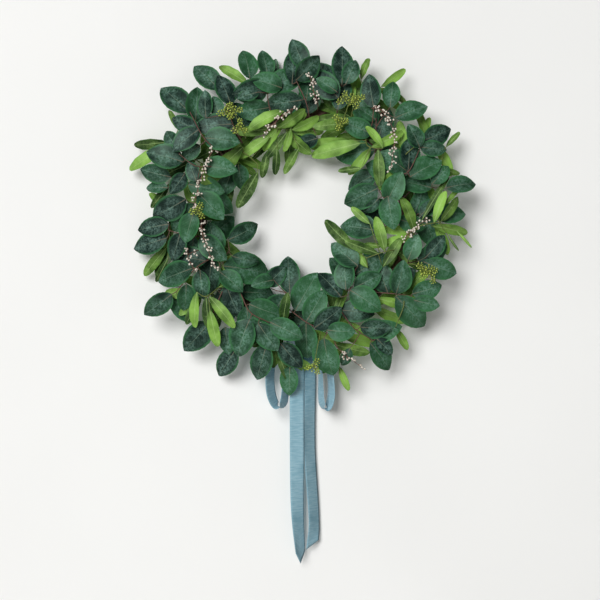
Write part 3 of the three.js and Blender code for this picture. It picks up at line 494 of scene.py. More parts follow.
@dataclass
class Growth:
    """A stem that leaves the vine ring, as its CAD solid does.

    Attributes:
        node: name of its CAD node.
        layer: how far in front of the ring its stem runs.
        places: the places of the photograph that its stem passes.
        seed: seed of its random draws.
    """

    node: str
    layer: Layer
    places: Sequence[Place]
    seed: int

    ROOT_SHARE = 0.6
    STEM_OUT = 2
    START_SEAT = -1.9
    STEM_STEP = 16.0
    STEM_CLEAR = 19.0
    HALF_THICK = 0.35
    CUTS = 4
    END_SHARE = 0.08
    SHIFTS = (0, -5, 5, -10, 10, -15, 15, -20, 20)
    SEATS = tuple(np.arange(-1.6, 3.2, 0.4))
    NEAR = 0.5

    def __post_init__(self) -> None:
        """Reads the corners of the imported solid."""
        mesh = frame["nodes"][self.node].data
        corners = np.empty(len(mesh.vertices) * 3)
        mesh.vertices.foreach_get("co", corners)
        self.solid = np.unique((corners.reshape(-1, 3) / MM).round(3), axis=0)
        self.points = np.empty((0, 3))
        self.line = np.empty((0, 3))

    def stem_points(self, shift: float, seat: float) -> Array:
        """Returns the points that the stem's curve passes, at one depth shift and seat."""
        points = []
        for i, (x, y) in enumerate(self.places):
            share = self.ROOT_SHARE if i == 0 else 1
            depth = -self.layer.value * share * PICTURE.dome(x, y) - shift
            point = PICTURE.place(x, y, depth)
            middle = PICTURE.ring_middle(point)
            away = float(np.linalg.norm(point - middle))
            least = self.STEM_CLEAR + (0 if i == 0 else self.STEM_OUT)
            points.append(middle + (point - middle) / away * max(least, away))
        middle = PICTURE.ring_middle(points[0])
        outward = unit(points[0] - middle)
        return np.array([middle + outward * (VINE_RADIUS + seat), *points])

    def stem_line(self, points: Array, start: Array) -> Array:
        """Returns the solid's stem as the few points that its straight stretches join."""
        length = run_of(curve_at(start, SAMPLES))[-1]
        return spaced(points, max(3, math.floor(length / self.STEM_STEP + 0.5)))

    def nearest(self, line: Array, x: float, y: float) -> Array:
        """Returns the point of a stem that looks nearest to a place in the photograph."""
        last = len(line) - 1
        at = np.arange(self.CUTS // 2, last * self.CUTS + 1) / self.CUTS
        row = np.minimum(last - 1, np.floor(at).astype(int))
        share = (np.minimum(at, last - self.END_SHARE) - row)[:, None]
        points = line[row] * (1 - share) + line[row + 1] * share
        off = np.linalg.norm(PICTURE.place(x, y, points[:, 1]) - points, axis=1)
        return points[int(np.argmin(off))]

    def distance(self, points: Array) -> Array:
        """Returns how far each point is from the nearest corner of the solid."""
        gaps = points[:, None, :] - self.solid[None, :, :]
        return np.sqrt((gaps**2).sum(axis=2)).min(axis=1)

    def settle(self) -> None:
        """Finds the depth shift and seat that the solid's stem took."""
        best = (-1.0, 0.0, 0.0)
        for shift in self.SHIFTS:
            start = self.stem_points(shift, self.START_SEAT)
            for seat in self.SEATS:
                points = self.stem_points(shift, seat)
                score = self.likeness(self.stem_line(points, start))
                if score > best[0]:
                    best = (score, shift, seat)
        self.points = self.stem_points(best[1], best[2])
        self.line = self.stem_line(self.points, self.stem_points(best[1], self.START_SEAT))

    def likeness(self, line: Array) -> float:
        """Returns how many of the solid's tips a stem line accounts for."""
        raise NotImplementedError


@dataclass
class Sprig(Growth):
    """A stem with its leaves.

    Attributes:
        listed: its leaves, as the wreath's lists give them.
        form: the form of its blades.
    """

    listed: list
    form: Form

    BACK_PITCH = 22.0
    LEAF_ROLL = 0.9
    LEAF_TILT = 16.0
    ARCH_LEAST = 0.02
    ARCH_SPREAD = 0.07
    DEPTHS = (0, -5, 5, -10, 10, -15, 15)
    PITCHES = (0, 9, -9, 18, 27, 36)
    FILL_SEED = 20000
    FILL_STARTS = 6
    FILL_WAYS = 15
    FILL_BEHIND = 8
    FILL_INNER = 122
    FILL_OUTER = 262
    LEAST_CORNERS = 9
    LENGTHS = {Form.BROAD: 58, Form.LONG: 60}
    SIZE_LEAST = 0.85
    SIZE_SPREAD = 0.3
    WIDTH_LEAST = 0.92
    WIDTH_SPREAD = 0.16
    SHIFT_STEP = 5
    PITCH_STEP = 11
    TONE_SHARE = 0.8
    FRESHER = 0.24
    ACROSS = 560

    def __post_init__(self) -> None:
        """Starts without a leaf."""
        super().__post_init__()
        self.leaves: list[Leaf] = []

    def ways(self, line: Array, leaf: list, seed: int) -> list[Leaf]:
        """Returns every way that the placing rule could have set a leaf, nearest wish first."""
        tip_x, tip_y, base_x, base_y, *words = leaf
        draw = Draws(seed)
        form = next((word for word in words if isinstance(word, Form)), self.form)
        behind = next((word for word in words if not isinstance(word, Form)), 0)
        roll = (draw() - 0.5) * self.LEAF_ROLL
        arch = self.ARCH_LEAST + draw() * self.ARCH_SPREAD
        wide = BLADES[form].ratio * (self.WIDTH_LEAST + draw() * self.WIDTH_SPREAD)
        tilt = (draw() - 0.5) * self.LEAF_TILT
        root = self.nearest(line, base_x, base_y)
        out = np.array([base_x - PICTURE.ring_x, base_y - PICTURE.ring_y])
        way = np.array([tip_x - base_x, tip_y - base_y])
        outer = 1 if PICTURE.from_ring(base_x, base_y) > PICTURE.ring_radius else -1
        away = outer * float(way @ out) / float(np.linalg.norm(way) * np.linalg.norm(out))
        wish = self.BACK_PITCH * max(0.0, away) + tilt
        reach = float(np.linalg.norm(way)) * PICTURE.scale
        half = reach * wide / 2 / math.cos(roll)
        shift, pitch = (axis.ravel() for axis in np.meshgrid(self.DEPTHS, self.PITCHES))
        cost = np.abs(shift) / self.SHIFT_STEP + np.abs(pitch) / self.PITCH_STEP
        order = np.argsort(cost, kind="stable")
        base_depth = root[1] + behind + shift[order]
        tip_depth = base_depth + reach * np.tan(np.radians(wish + pitch[order]))
        bases = PICTURE.place(base_x, base_y, base_depth)
        tips = PICTURE.place(tip_x, tip_y, tip_depth)
        return [Leaf(root, base, tip, roll, arch, half, form) for base, tip in zip(bases, tips)]

    def likeness(self, line: Array) -> float:
        """Returns how many of the listed leaves end where the solid has a tip."""
        score = 0.0
        for i, leaf in enumerate(self.listed):
            tips = np.array([one.tip for one in self.ways(line, leaf, self.seed + i)])
            off = float(np.abs(self.distance(tips) - self.HALF_THICK).min())
            score += max(0.0, 1 - off / self.NEAR)
        return score

    def found(self, leaf: list, seed: int) -> Leaf | None:
        """Returns a leaf as the solid has it, or None where the solid has none."""
        ways = self.ways(self.line, leaf, seed)
        off = np.abs(self.distance(np.array([one.tip for one in ways])) - self.HALF_THICK)
        best, most = None, self.LEAST_CORNERS - 1
        for i in np.flatnonzero(off < self.NEAR):
            met = int((self.distance(ways[i].corners()) < self.NEAR).sum())
            if met > most:
                best, most = ways[i], met
        return best

    def fill(self) -> Iterable[tuple[list, int]]:
        """Yields the leaves that the rule may have put behind the listed ones, with seeds."""
        for i in range(self.FILL_STARTS * self.FILL_WAYS):
            seed = self.seed + self.FILL_SEED + i
            draw = Draws(seed)
            at = (i // self.FILL_WAYS) / self.FILL_STARTS * (len(self.places) - 1)
            (from_x, from_y), (to_x, to_y) = self.places[int(at) : int(at) + 2]
            x = from_x + (to_x - from_x) * (at - int(at))
            y = from_y + (to_y - from_y) * (at - int(at))
            turn = (i + draw()) * TURN / self.FILL_WAYS
            length = self.LENGTHS[self.form]
            size = length * (self.SIZE_LEAST + draw() * self.SIZE_SPREAD) / PICTURE.scale
            tip = (x + size * math.cos(turn), y + size * math.sin(turn))
            if self.FILL_INNER < PICTURE.from_ring(*tip) < self.FILL_OUTER:
                yield [*tip, x, y, self.FILL_BEHIND], seed

    def tone_at(self, place: Array, draw: float) -> float:
        """Returns how fresh a leaf is: more so to the right of the wreath, and by a draw."""
        right = 0.5 + place[0] / self.ACROSS
        return min(1.0, max(0.0, self.TONE_SHARE * draw + self.FRESHER * right))

    def gather(self) -> None:
        """Finds the stem and every leaf that the solid has."""
        self.settle()
        listed = [self.found(leaf, self.seed + i) for i, leaf in enumerate(self.listed)]
        more = [self.found(leaf, seed) for leaf, seed in self.fill()]
        self.leaves = [leaf for leaf in (*listed, *more) if leaf]
        for i, leaf in enumerate(self.leaves):
            leaf.tone = self.tone_at(leaf.tip, random.Random(self.seed * 7 + i).random())
        missing = sum(leaf is None for leaf in listed)
        LOG.info("%s: %d leaves, %d listed ones missing", self.node, len(self.leaves), missing)


Offer = tuple[Sprig, Place, Place, Array]
Square = tuple[int, int]


class Thicket:
    """More leaves behind and among the solid's own, wherever the photograph has foliage.

    They grow from the sprigs' own stems, and each is kept only where it is clear of every other
    leaf and stem and of the ring. INNER and OUTER are the foliage's reach from the ring's centre,
    in places of the photograph, every STEP degrees from the top; OPEN are gaps through which the
    wall shows: their middles and radii.
    """

    CELL = 3
    COLUMNS = (100, 490)
    ROWS = (20, 400)
    STEP = 15
    INNER = (53, 52, 62, 58, 50, 44, 48, 23, 29, 40, 48, 57,
             58, 45, 54, 49, 66, 48, 64, 57, 55, 56, 51, 47)
    OUTER = (170, 165, 164, 163, 167, 163, 162, 159, 163, 161, 165, 164,
             172, 166, 168, 168, 174, 165, 152, 172, 160, 179, 170, 167)
    OPEN = ((197, 72, 9), (317, 42, 8), (241, 349, 8), (362, 353, 8))
    INSET = 3.0
    LENGTH = 33.0
    WAYS = 16
    MOST = 150
    LEAST_GAIN = 7
    LONG_WORTH = 4.2
    OUTSIDE = 5.0
    GUARD = 0.6
    DEPTHS = (14, 20, 8, 26, 2, 32, -4, 38, -9, 44, -14)
    LEANS = (0, 12, -12, 24, -24, 36)
    FRONT = -74.0
    BACK = 10.0
    RING_POINTS = 49
    RING_GUARD = 1.0
    TUBE_SIDES = 6
    ROOT_STEP = 11
    LONG_SCALE = 1.05
    SIZES = (0.86, 1.12)
    ROLLS = (-0.6, 0.6)
    WIDTHS = (0.9, 1.08)
    ARCHES = (0.02, 0.08)
    WISHES = (-8, 14)
    SEED = 9000

    def __init__(self, sprigs: Sequence[Sprig]) -> None:
        """Takes the sprigs with the leaves that they have."""
        self.sprigs = sprigs
        self.region = self.wanted()
        self.bare = set(self.region)
        self.corners: list[Array] = []
        self.faces: list[tuple[int, ...]] = []
        self.count = 0
        self.ring()
        for sprig in sprigs:
            self.tube(sprig.line)
            for leaf in sprig.leaves:
                self.block(leaf)

    def wanted(self) -> set[Square]:
        """Returns the small squares of the photograph that foliage covers."""
        squares = set()
        turns = np.arange(len(self.INNER) + 1) * self.STEP
        inner = np.array([*self.INNER, self.INNER[0]], float) + self.INSET
        outer = np.array([*self.OUTER, self.OUTER[0]], float) - 2 * self.INSET
        for column in range(*self.COLUMNS, self.CELL):
            for row in range(*self.ROWS, self.CELL):
                x, y = column + self.CELL / 2, row + self.CELL / 2
                off = (x - PICTURE.ring_x, PICTURE.ring_y - y)
                turn = math.degrees(math.atan2(off[0], off[1])) % 360
                far = math.hypot(*off)
                if any(math.hypot(x - at_x, y - at_y) < reach for at_x, at_y, reach in self.OPEN):
                    continue
                if np.interp(turn, turns, inner) < far < np.interp(turn, turns, outer):
                    squares.add((column // self.CELL, row // self.CELL))
        return squares

    def squares(self, tip: Place, base: Place, ratio: float) -> set[Square]:
        """Returns the small squares that a leaf between two places covers."""
        along, across = np.meshgrid(np.linspace(0.06, 0.96, 16), np.linspace(-0.9, 0.9, 9))
        wide = ratio * np.sqrt(along * (1 - along)) * across
        way = np.subtract(tip, base)
        x = base[0] + way[0] * along - way[1] * wide
        y = base[1] + way[1] * along + way[0] * wide
        return set(zip((x // self.CELL).astype(int).ravel(), (y // self.CELL).astype(int).ravel()))

    def seen(self, point: Array) -> Place:
        """Returns the place of the photograph where a point in mm is seen."""
        aim_x, aim_z = PICTURE.aim()
        near = PICTURE.scale * (PICTURE.distance + point[1]) / PICTURE.distance
        return PICTURE.middle + (point[0] - aim_x) / near, PICTURE.middle - (point[2] - aim_z) / near

    def ring(self) -> None:
        """Lets the vine ring stand in the way."""
        turns = np.linspace(0, TURN, self.RING_POINTS)
        reach = PICTURE.ring_radius
        line = [(reach * math.sin(t), 0, PICTURE.ring_z + reach * math.cos(t)) for t in turns]
        self.tube(np.array(line), VINE_RADIUS + VINE_LOBE + self.RING_GUARD)

    def tube(self, line: Array, radius: float = 1.6) -> None:
        """Lets a stem stand in the way."""
        along = unit(np.gradient(line, axis=0))
        side = unit(np.cross(along, np.array([0.1, 1.0, 0.2])))
        other = np.cross(along, side)
        start = self.count
        for i in range(self.TUBE_SIDES):
            turn = TURN * i / self.TUBE_SIDES
            self.corners.append(line + radius * (side * math.cos(turn) + other * math.sin(turn)))
        self.count += self.TUBE_SIDES * len(line)
        for i in range(self.TUBE_SIDES):
            a, b = start + i * len(line), start + (i + 1) % self.TUBE_SIDES * len(line)
            self.faces += [(a + j, a + j + 1, b + j + 1, b + j) for j in range(len(line) - 1)]

    def sheets(self, leaf: Leaf, guard: float) -> tuple[Array, list[tuple[int, ...]]]:
        """Returns a leaf's blade as two sheets, one on each side of it."""
        axis, face, length = leaf.frame()
        side = np.cross(axis, face)
        outline = BLADES[leaf.form].outline[1:]
        rows = []
        for at, share in outline:
            middle = leaf.base + axis * (at * length) + face * leaf.rise(at, length)
            fold = BLADES[leaf.form].cup * leaf.half * share * leaf.fold()
            rows += [
                middle - side * leaf.half * share + face * fold, middle,
                middle + side * leaf.half * share + face * fold,
            ]
        rows = np.array(rows)
        faces = []
        for i in range(len(outline) - 1):
            for j in (0, 1):
                a = 3 * i + j
                faces.append((a, a + 1, a + 4, a + 3))
        count = len(rows)
        faces += [tuple(corner + count for corner in face) for face in faces]
        return np.vstack([rows + face * guard, rows - face * guard]), faces

    def block(self, leaf: Leaf) -> None:
        """Lets a leaf stand in the way, and counts the squares that it covers."""
        corners, faces = self.sheets(leaf, 0.1)
        self.faces += [tuple(corner + self.count for corner in face) for face in faces]
        self.corners.append(corners)
        self.count += len(corners)
        ratio = BLADES[leaf.form].ratio
        self.bare -= self.squares(self.seen(leaf.tip), self.seen(leaf.base), ratio)

    def fits(self, leaf: Leaf, wall: BVHTree) -> bool:
        """Tells whether a leaf stays in the wreath's depth and clear of what stands in the way."""
        corners, faces = self.sheets(leaf, self.GUARD)
        if corners[:, 1].min() < self.FRONT or corners[:, 1].max() > self.BACK:
            return False
        return not BVHTree.FromPolygons(corners.tolist(), faces).overlap(wall)

    def offers(self) -> list[Offer]:
        """Returns every leaf that the sprigs could bear: its sprig, tip and base places, root."""
        found = []
        for sprig in self.sprigs:
            draw = random.Random(sprig.seed + 3)
            scale = 1.0 if sprig.form is Form.BROAD else self.LONG_SCALE
            steps = max(3, round(run_of(sprig.line)[-1] / self.ROOT_STEP))
            for root in spaced(sprig.points, steps)[1:]:
                base = self.seen(root)
                for i in range(self.WAYS):
                    turn = TURN * (i + draw.random()) / self.WAYS
                    size = self.LENGTH * scale * draw.uniform(*self.SIZES)
                    tip = (base[0] + size * math.cos(turn), base[1] + size * math.sin(turn))
                    found.append((sprig, tip, base, root))
        return found

    def gain(self, offer: Offer) -> float:
        """Returns how many bare squares a leaf would cover, less what it would reach outside."""
        sprig, tip, base, _ = offer
        covered = self.squares(tip, base, BLADES[sprig.form].ratio)
        worth = 1.0 if sprig.form is Form.BROAD else self.LONG_WORTH
        return worth * len(covered & self.bare) - self.OUTSIDE * len(covered - self.region)

    def fill(self) -> None:
        """Adds leaves, the ones that cover most of what is still bare first."""
        offers = self.offers()
        added = 0
        wall = self.obstacles()
        gains = [self.gain(offer) for offer in offers]
        while added < self.MOST:
            best = int(np.argmax(gains))
            if gains[best] < self.LEAST_GAIN:
                break
            fresh = self.gain(offers[best])
            if fresh < gains[best]:
                gains[best] = fresh
                continue
            gains[best] = -1
            leaf = self.placed(offers[best], wall, added)
            if leaf is None:
                continue
            offers[best][0].leaves.append(leaf)
            self.block(leaf)
            wall = self.obstacles()
            added += 1
        LOG.info("%d more leaves, %d squares left bare", added, len(self.bare))

    def obstacles(self) -> BVHTree:
        """Returns everything that stands in the way."""
        return BVHTree.FromPolygons(np.vstack(self.corners).tolist(), self.faces)

    def placed(self, offer: Offer, wall: BVHTree, number: int) -> Leaf | None:
        """Returns an offered leaf in the first depth and lean that are clear, or None."""
        sprig, tip, base, root = offer
        draw = random.Random(self.SEED + number)
        roll = draw.uniform(*self.ROLLS)
        reach = math.hypot(tip[0] - base[0], tip[1] - base[1]) * PICTURE.scale
        wide = BLADES[sprig.form].ratio * draw.uniform(*self.WIDTHS)
        half = reach * wide / 2 / math.cos(roll)
        arch = draw.uniform(*self.ARCHES)
        tone = sprig.tone_at(root, draw.random())
        wish = draw.uniform(*self.WISHES)
        for lean in self.LEANS:
            for depth in self.DEPTHS:
                start = PICTURE.place(*base, root[1] + depth)
                end = PICTURE.place(*tip, start[1] + reach * math.tan(math.radians(wish + lean)))
                leaf = Leaf(root, start, end, roll, arch, half, sprig.form, tone)
                if self.fits(leaf, wall):
                    return leaf
        return None


# Trees of nodes

# A kind of node is its type's name, or that with one setting and its value.
MATH = "ShaderNodeMath"
VECTOR_MATH = "ShaderNodeVectorMath"
RANGE = "ShaderNodeMapRange"
NAMED = "GeometryNodeInputNamedAttribute"
NOISE = "ShaderNodeTexNoise"
BUMP = "ShaderNodeBump"
PARTS = "ShaderNodeSeparateXYZ"
JOINED = "ShaderNodeCombineXYZ"
COORDINATE = "ShaderNodeTexCoord"
ATTRIBUTE = "ShaderNodeAttribute"
STORED = "GeometryNodeStoreNamedAttribute"
REALIZED = "GeometryNodeRealizeInstances"
SIN = (MATH, "operation", "SINE")
COS = (MATH, "operation", "COSINE")
POWER = (MATH, "operation", "POWER")
PINGPONG = (MATH, "operation", "PINGPONG")
UNSIGNED = (MATH, "operation", "ABSOLUTE")
PLUS = (MATH, "operation", "ADD")
LESS = (MATH, "operation", "SUBTRACT")
TIMES = (MATH, "operation", "MULTIPLY")
OVER = (MATH, "operation", "DIVIDE")
TIMES_PLUS = (MATH, "operation", "MULTIPLY_ADD")
SCALED = (VECTOR_MATH, "operation", "SCALE")
MOVED = (VECTOR_MATH, "operation", "ADD")
# A range takes a value, the two ends of the stretch that counts, and what those ends become.
STEADY = (RANGE, "interpolation_type", "LINEAR")
SMOOTH = (RANGE, "interpolation_type", "SMOOTHSTEP")
BLEND = ("ShaderNodeMix", "data_type", "RGBA")
NUMBER = (NAMED, "data_type", "FLOAT")
DIRECTION = (NAMED, "data_type", "FLOAT_VECTOR")


def put(
    tree: Tree,
    kind: str | tuple[str, str, str],
    inputs: dict[int | str, Any] | tuple = (),
    out: str | None = None,
    **settings: Any,
) -> Socket | None:
    """Adds a node with its settings, and links or sets its inputs.

    Args:
        tree: the tree that gets the node.
        kind: the kind of node.
        inputs: for an input's name or number, a socket to link or a value to set, or a tuple of
            those in the inputs' order. A colour may be an sRGB hex value.
        out: the name of the output wanted, else the first one in use.
        **settings: the node's own settings.

    Returns:
        The output asked for, or None where the node has none.
    """
    if not isinstance(kind, str):
        kind, name, value = kind
        settings[name] = value
    node = tree.nodes.new(kind)
    for name, value in settings.items():
        setattr(node, name, value)
    for key, value in inputs.items() if isinstance(inputs, dict) else enumerate(inputs):
        if isinstance(key, int):
            socket = node.inputs[key]
        else:
            socket = next(s for s in node.inputs if s.enabled and key in (s.name, s.identifier))
        if isinstance(value, Socket):
            tree.links.new(value, socket)
        elif isinstance(value, str) and value.startswith("#"):
            socket.default_value = linear(value)
        else:
            socket.default_value = value
    if out:
        return node.outputs[out]
    return next((socket for socket in node.outputs if socket.enabled), None)


def linear(colour: str) -> tuple[float, float, float, float]:
    """Turns an sRGB hex colour into the linear numbers that a shader takes."""
    parts = [int(colour[i : i + 2], 16) / 255 for i in (1, 3, 5)]
    return (*(p / 12.92 if p <= 0.04045 else ((p + 0.055) / 1.055) ** 2.4 for p in parts), 1.0)


class NodeTreeMaker:
    """A geometry tree that turns plain points or lines into finished pieces."""

    title = "Tree"
    sizes: dict[str, float] = {}
    wants_shape = False

    def __init__(self) -> None:
        """Builds the tree with its named inputs."""
        self.tree = bpy.data.node_groups.new(self.title, "GeometryNodeTree")
        face = self.tree.interface
        face.new_socket("Geometry", in_out="INPUT", socket_type="NodeSocketGeometry")
        face.new_socket("Material", in_out="INPUT", socket_type="NodeSocketMaterial")
        if self.wants_shape:
            face.new_socket("Shape", in_out="INPUT", socket_type="NodeSocketObject")
        for name, value in self.sizes.items():
            socket = face.new_socket(name, in_out="INPUT", socket_type="NodeSocketFloat")
            socket.default_value = value
        face.new_socket("Geometry", in_out="OUTPUT", socket_type="NodeSocketGeometry")
        self.source = self.tree.nodes.new("NodeGroupInput")
        made = self.build()
        smooth = put(self.tree, "GeometryNodeSetShadeSmooth", {"Geometry": made})
        inputs = {"Geometry": smooth, "Material": self.source.outputs["Material"]}
        painted = put(self.tree, "GeometryNodeSetMaterial", inputs)
        put(self.tree, "NodeGroupOutput", {0: painted})

    def build(self) -> Socket:
        """Adds the tree's own nodes and returns the finished geometry."""
        raise NotImplementedError

    def grow(
        self,
        name: str,
        points: "Points",
        material: Paint,
        shape: Thing | None = None,
        **sizes: float,
    ) -> Thing:
        """Runs the tree on points or lines, and keeps the result as a plain mesh object.

        Args:
            name: the finished piece's name.
            points: the places, edges and attributes to work on.
            material: the finish of the piece.
            shape: the object that is set at each point, where the tree takes one.
            **sizes: the tree's named inputs.

        Returns:
            The finished piece, with its place in its mesh.
        """
        holder = points.as_object(name + "_points")
        modifier = holder.modifiers.new("Grow", "NODES")
        modifier.node_group = self.tree
        given = {"Material": material, **sizes}
        if self.wants_shape:
            given["Shape"] = shape
        for item in self.tree.interface.items_tree:
            if item.in_out == "INPUT" and item.name in given:
                modifier[item.identifier] = given[item.name]
        view = bpy.context.evaluated_depsgraph_get()
        mesh = bpy.data.meshes.new_from_object(
            holder.evaluated_get(view), preserve_all_data_layers=True, depsgraph=view
        )
        mesh.name = name
        bpy.data.objects.remove(holder)
        return linked(name, mesh)


def linked(name: str, data: bpy.types.ID) -> Thing:
    """Makes an object of a mesh, a light or a camera, and puts it into the scene."""
    made = bpy.data.objects.new(name, data)
    bpy.context.scene.collection.objects.link(made)
    return made


@dataclass
class Points:
    """Places in mm, the edges between them, and what each place is told."""

    places: list[Array] = field(default_factory=list)
    edges: list[tuple[int, int]] = field(default_factory=list)
    told: dict[str, list[Any]] = field(default_factory=dict)

    def add(self, place: Array, **told: Any) -> int:
        """Adds a place with its attributes and returns its number."""
        self.places.append(np.asarray(place, float))
        for name, value in told.items():
            self.told.setdefault(name, []).append(value)
        return len(self.places) - 1

    def add_line(self, places: Array, thick: Any, pale: Any = 0.0) -> None:
        """Adds a line of places with their radii in mm and how pale they are, or one of each."""
        before = None
        thick, pale = (np.broadcast_to(value, len(places)) for value in (thick, pale))
        for place, radius, light, far in zip(places, thick, pale, run_of(places)):
            now = self.add(place, thick=radius * MM, pale=light, run=far * MM)
            if before is not None:
                self.edges.append((before, now))
            before = now

    def as_object(self, name: str) -> Thing:
        """Returns the points as an object of loose vertices and edges."""
        mesh = bpy.data.meshes.new(name)
        mesh.from_pydata([place * MM for place in self.places], self.edges, [])
        for key, values in self.told.items():
            vector = isinstance(values[0], Array)
            kind = "FLOAT_VECTOR" if vector else "FLOAT"
            layer = mesh.attributes.new(key, kind, "POINT")
            flat = np.asarray(values, np.float32).ravel()
            layer.data.foreach_set("vector" if vector else "value", flat)
        return linked(name, mesh)


class LeafTree(NodeTreeMaker):
    """Sets a flat blade at each point and bends it to the leaf that the point tells of."""

    title = "Leaf spray"
    sizes = {"Thickness": 0.0004, "Cup": 0.16, "Wave": 0.0007, "Waves": 1.4}
    wants_shape = True

    def build(self) -> Socket:
        """Adds the nodes that set and bend the blades."""
        tree, given = self.tree, self.source.outputs
        blade = put(tree, "GeometryNodeObjectInfo", {"Object": given["Shape"]}, out="Geometry")
        inputs = {"Points": given["Geometry"], "Instance": blade}
        set_out = put(tree, "GeometryNodeInstanceOnPoints", inputs)
        loose = put(tree, REALIZED, {"Geometry": set_out})
        numbers = (
            "across", "along", "profile", "layer", "half", "length", "arch", "tone", "fold", "curl"
        )
        told = {name: put(tree, NUMBER, {"Name": name}) for name in numbers}
        ways = {
            name: put(tree, DIRECTION, {"Name": name})
            for name in ("base", "side", "axis", "face")
        }
        across, along = told["across"], told["along"]
        x = put(tree, TIMES, (across, told["profile"]))
        x = put(tree, TIMES, (x, told["half"]))
        y = put(tree, TIMES, (along, told["length"]))
        lift = put(tree, LESS, (1.0, along))
        for factor in (y, 4.0, told["arch"]):
            lift = put(tree, TIMES, (lift, factor))
        fold = put(tree, UNSIGNED, {0: x})
        fold = put(tree, TIMES, (fold, given["Cup"]))
        lift = put(tree, TIMES_PLUS, (fold, told["fold"], lift))
        phase = put(tree, TIMES_PLUS, (along, given["Waves"], told["tone"]))
        phase = put(tree, TIMES_PLUS, (across, 0.22, phase))
        phase = put(tree, TIMES, (phase, TURN))
        wave = put(tree, SIN, {0: phase})
        for factor in (across, across):
            wave = put(tree, TIMES, (wave, factor))
        lift = put(tree, TIMES_PLUS, (wave, given["Wave"], lift))
        curl = put(tree, POWER, (along, 3.0))
        for factor in (told["length"], told["curl"]):
            curl = put(tree, TIMES, (curl, factor))
        lift = put(tree, LESS, (lift, curl))
        thick = put(tree, TIMES, (given["Thickness"], 0.5))
        lift = put(tree, TIMES_PLUS, (told["layer"], thick, lift))
        place = ways["base"]
        for name, amount in (("side", x), ("axis", y), ("face", lift)):
            part = put(tree, SCALED, {0: ways[name], "Scale": amount})
            place = put(tree, MOVED, (place, part))
        bent = put(tree, "GeometryNodeSetPosition", {"Geometry": loose, "Position": place})
        spot = put(tree, JOINED, {"X": x, "Y": y, "Z": told["layer"]})
        inputs = {"Geometry": bent, "Name": "spot", "Value": spot}
        return put(tree, STORED, inputs, data_type="FLOAT_VECTOR")


class StemTree(NodeTreeMaker):
    """Sweeps a round section along lines, as thick as their points say."""

    title = "Stems"
    sizes = {"Sides": 6.0}

    def build(self) -> Socket:
        """Adds the nodes that sweep the lines."""
        tree, given = self.tree, self.source.outputs
        line = put(tree, "GeometryNodeMeshToCurve", {"Mesh": given["Geometry"]})
        ring = {"Resolution": given["Sides"], "Radius": 1.0}
        section = put(tree, "GeometryNodeCurvePrimitiveCircle", ring)
        around = put(tree, "GeometryNodeSplineParameter", out="Factor")
        section = put(tree, STORED, {"Geometry": section, "Name": "around", "Value": around})
        thick = put(tree, NUMBER, {"Name": "thick"})
        inputs = {"Curve": line, "Profile Curve": section, "Scale": thick, "Fill Caps": True}
        swept = put(tree, "GeometryNodeCurveToMesh", inputs)
        return put(tree, REALIZED, {"Geometry": swept})


class GrainTree(NodeTreeMaker):
    """Sets a bud or seed at each point, turned the way the point says."""

    title = "Grains"
    wants_shape = True

    def build(self) -> Socket:
        """Adds the nodes that set and turn the grains."""
        tree, given = self.tree, self.source.outputs
        grain = put(tree, "GeometryNodeObjectInfo", {"Object": given["Shape"]}, out="Geometry")
        way = put(tree, DIRECTION, {"Name": "way"})
        axes = {"Primary Axis": way, "Secondary Axis": (0.3, 1.0, 0.2)}
        turn = put(
            tree, "FunctionNodeAxesToRotation", axes, primary_axis="Z", secondary_axis="X"
        )
        wide = put(tree, NUMBER, {"Name": "wide"})
        long = put(tree, NUMBER, {"Name": "long"})
        size = put(tree, JOINED, {"X": wide, "Y": wide, "Z": long})
        inputs = {
            "Points": given["Geometry"], "Instance": grain, "Rotation": turn, "Scale": size,
        }
        set_out = put(tree, "GeometryNodeInstanceOnPoints", inputs)
        return put(tree, REALIZED, {"Geometry": set_out})


def blade_shape(name: str, outline: Sequence[Place]) -> Thing:
    """Makes the flat blade that leaves are bent from: two layers that meet along the edge.

    Args:
        name: the shape's name.
        outline: (share of the length, share of the half-width), from base to tip.

    Returns:
        An object whose points say how far across and along they are, and on which layer.
    """
    columns = (-1.0, -0.5, 0.0, 0.5, 1.0)
    rows = {1: [], -1: []}
    told: dict[str, list[float]] = {"across": [], "along": [], "profile": [], "layer": []}

    def point(across: float, row: Place, layer: float) -> int:
        """Adds one point and returns its number."""
        for key, value in zip(told, (across, row[0], row[1], layer)):
            told[key].append(value)
        return len(told["across"]) - 1

    for row in outline:
        if row[1] == 0:
            pole = [point(0, row, 0)]
            rows[1].append(pole)
            rows[-1].append(pole)
            continue
        edges = [point(-1, row, 0), point(1, row, 0)]
        for layer in (1, -1):
            inner = [point(across, row, layer) for across in columns[1:-1]]
            rows[layer].append([edges[0], *inner, edges[1]])
    faces = []
    for layer, lines in rows.items():
        for near, far in zip(lines, lines[1:]):
            near = near * len(columns) if len(near) == 1 else near
            far = far * len(columns) if len(far) == 1 else far
            for i in range(len(columns) - 1):
                # Both layers are cut along the same diagonals, so that neither shows through
                # the other where the blade is bent.
                for face in ((near[i], near[i + 1], far[i + 1]), (near[i], far[i + 1], far[i])):
                    if len(set(face)) == 3:
                        faces.append(face if layer > 0 else face[::-1])
    mesh = bpy.data.meshes.new(name)
    places = zip(told["across"], told["along"])
    mesh.from_pydata([(across * 0.3, along, 0) for across, along in places], [], faces)
    for key, values in told.items():
        mesh.attributes.new(key, "FLOAT", "POINT").data.foreach_set("value", values)
    edge = mesh.attributes.new("sharp_edge", "BOOLEAN", "EDGE")
    rims = [all(told["layer"][v] == 0 for v in e.vertices) for e in mesh.edges]
    edge.data.foreach_set("value", rims)
    return linked(name, mesh)


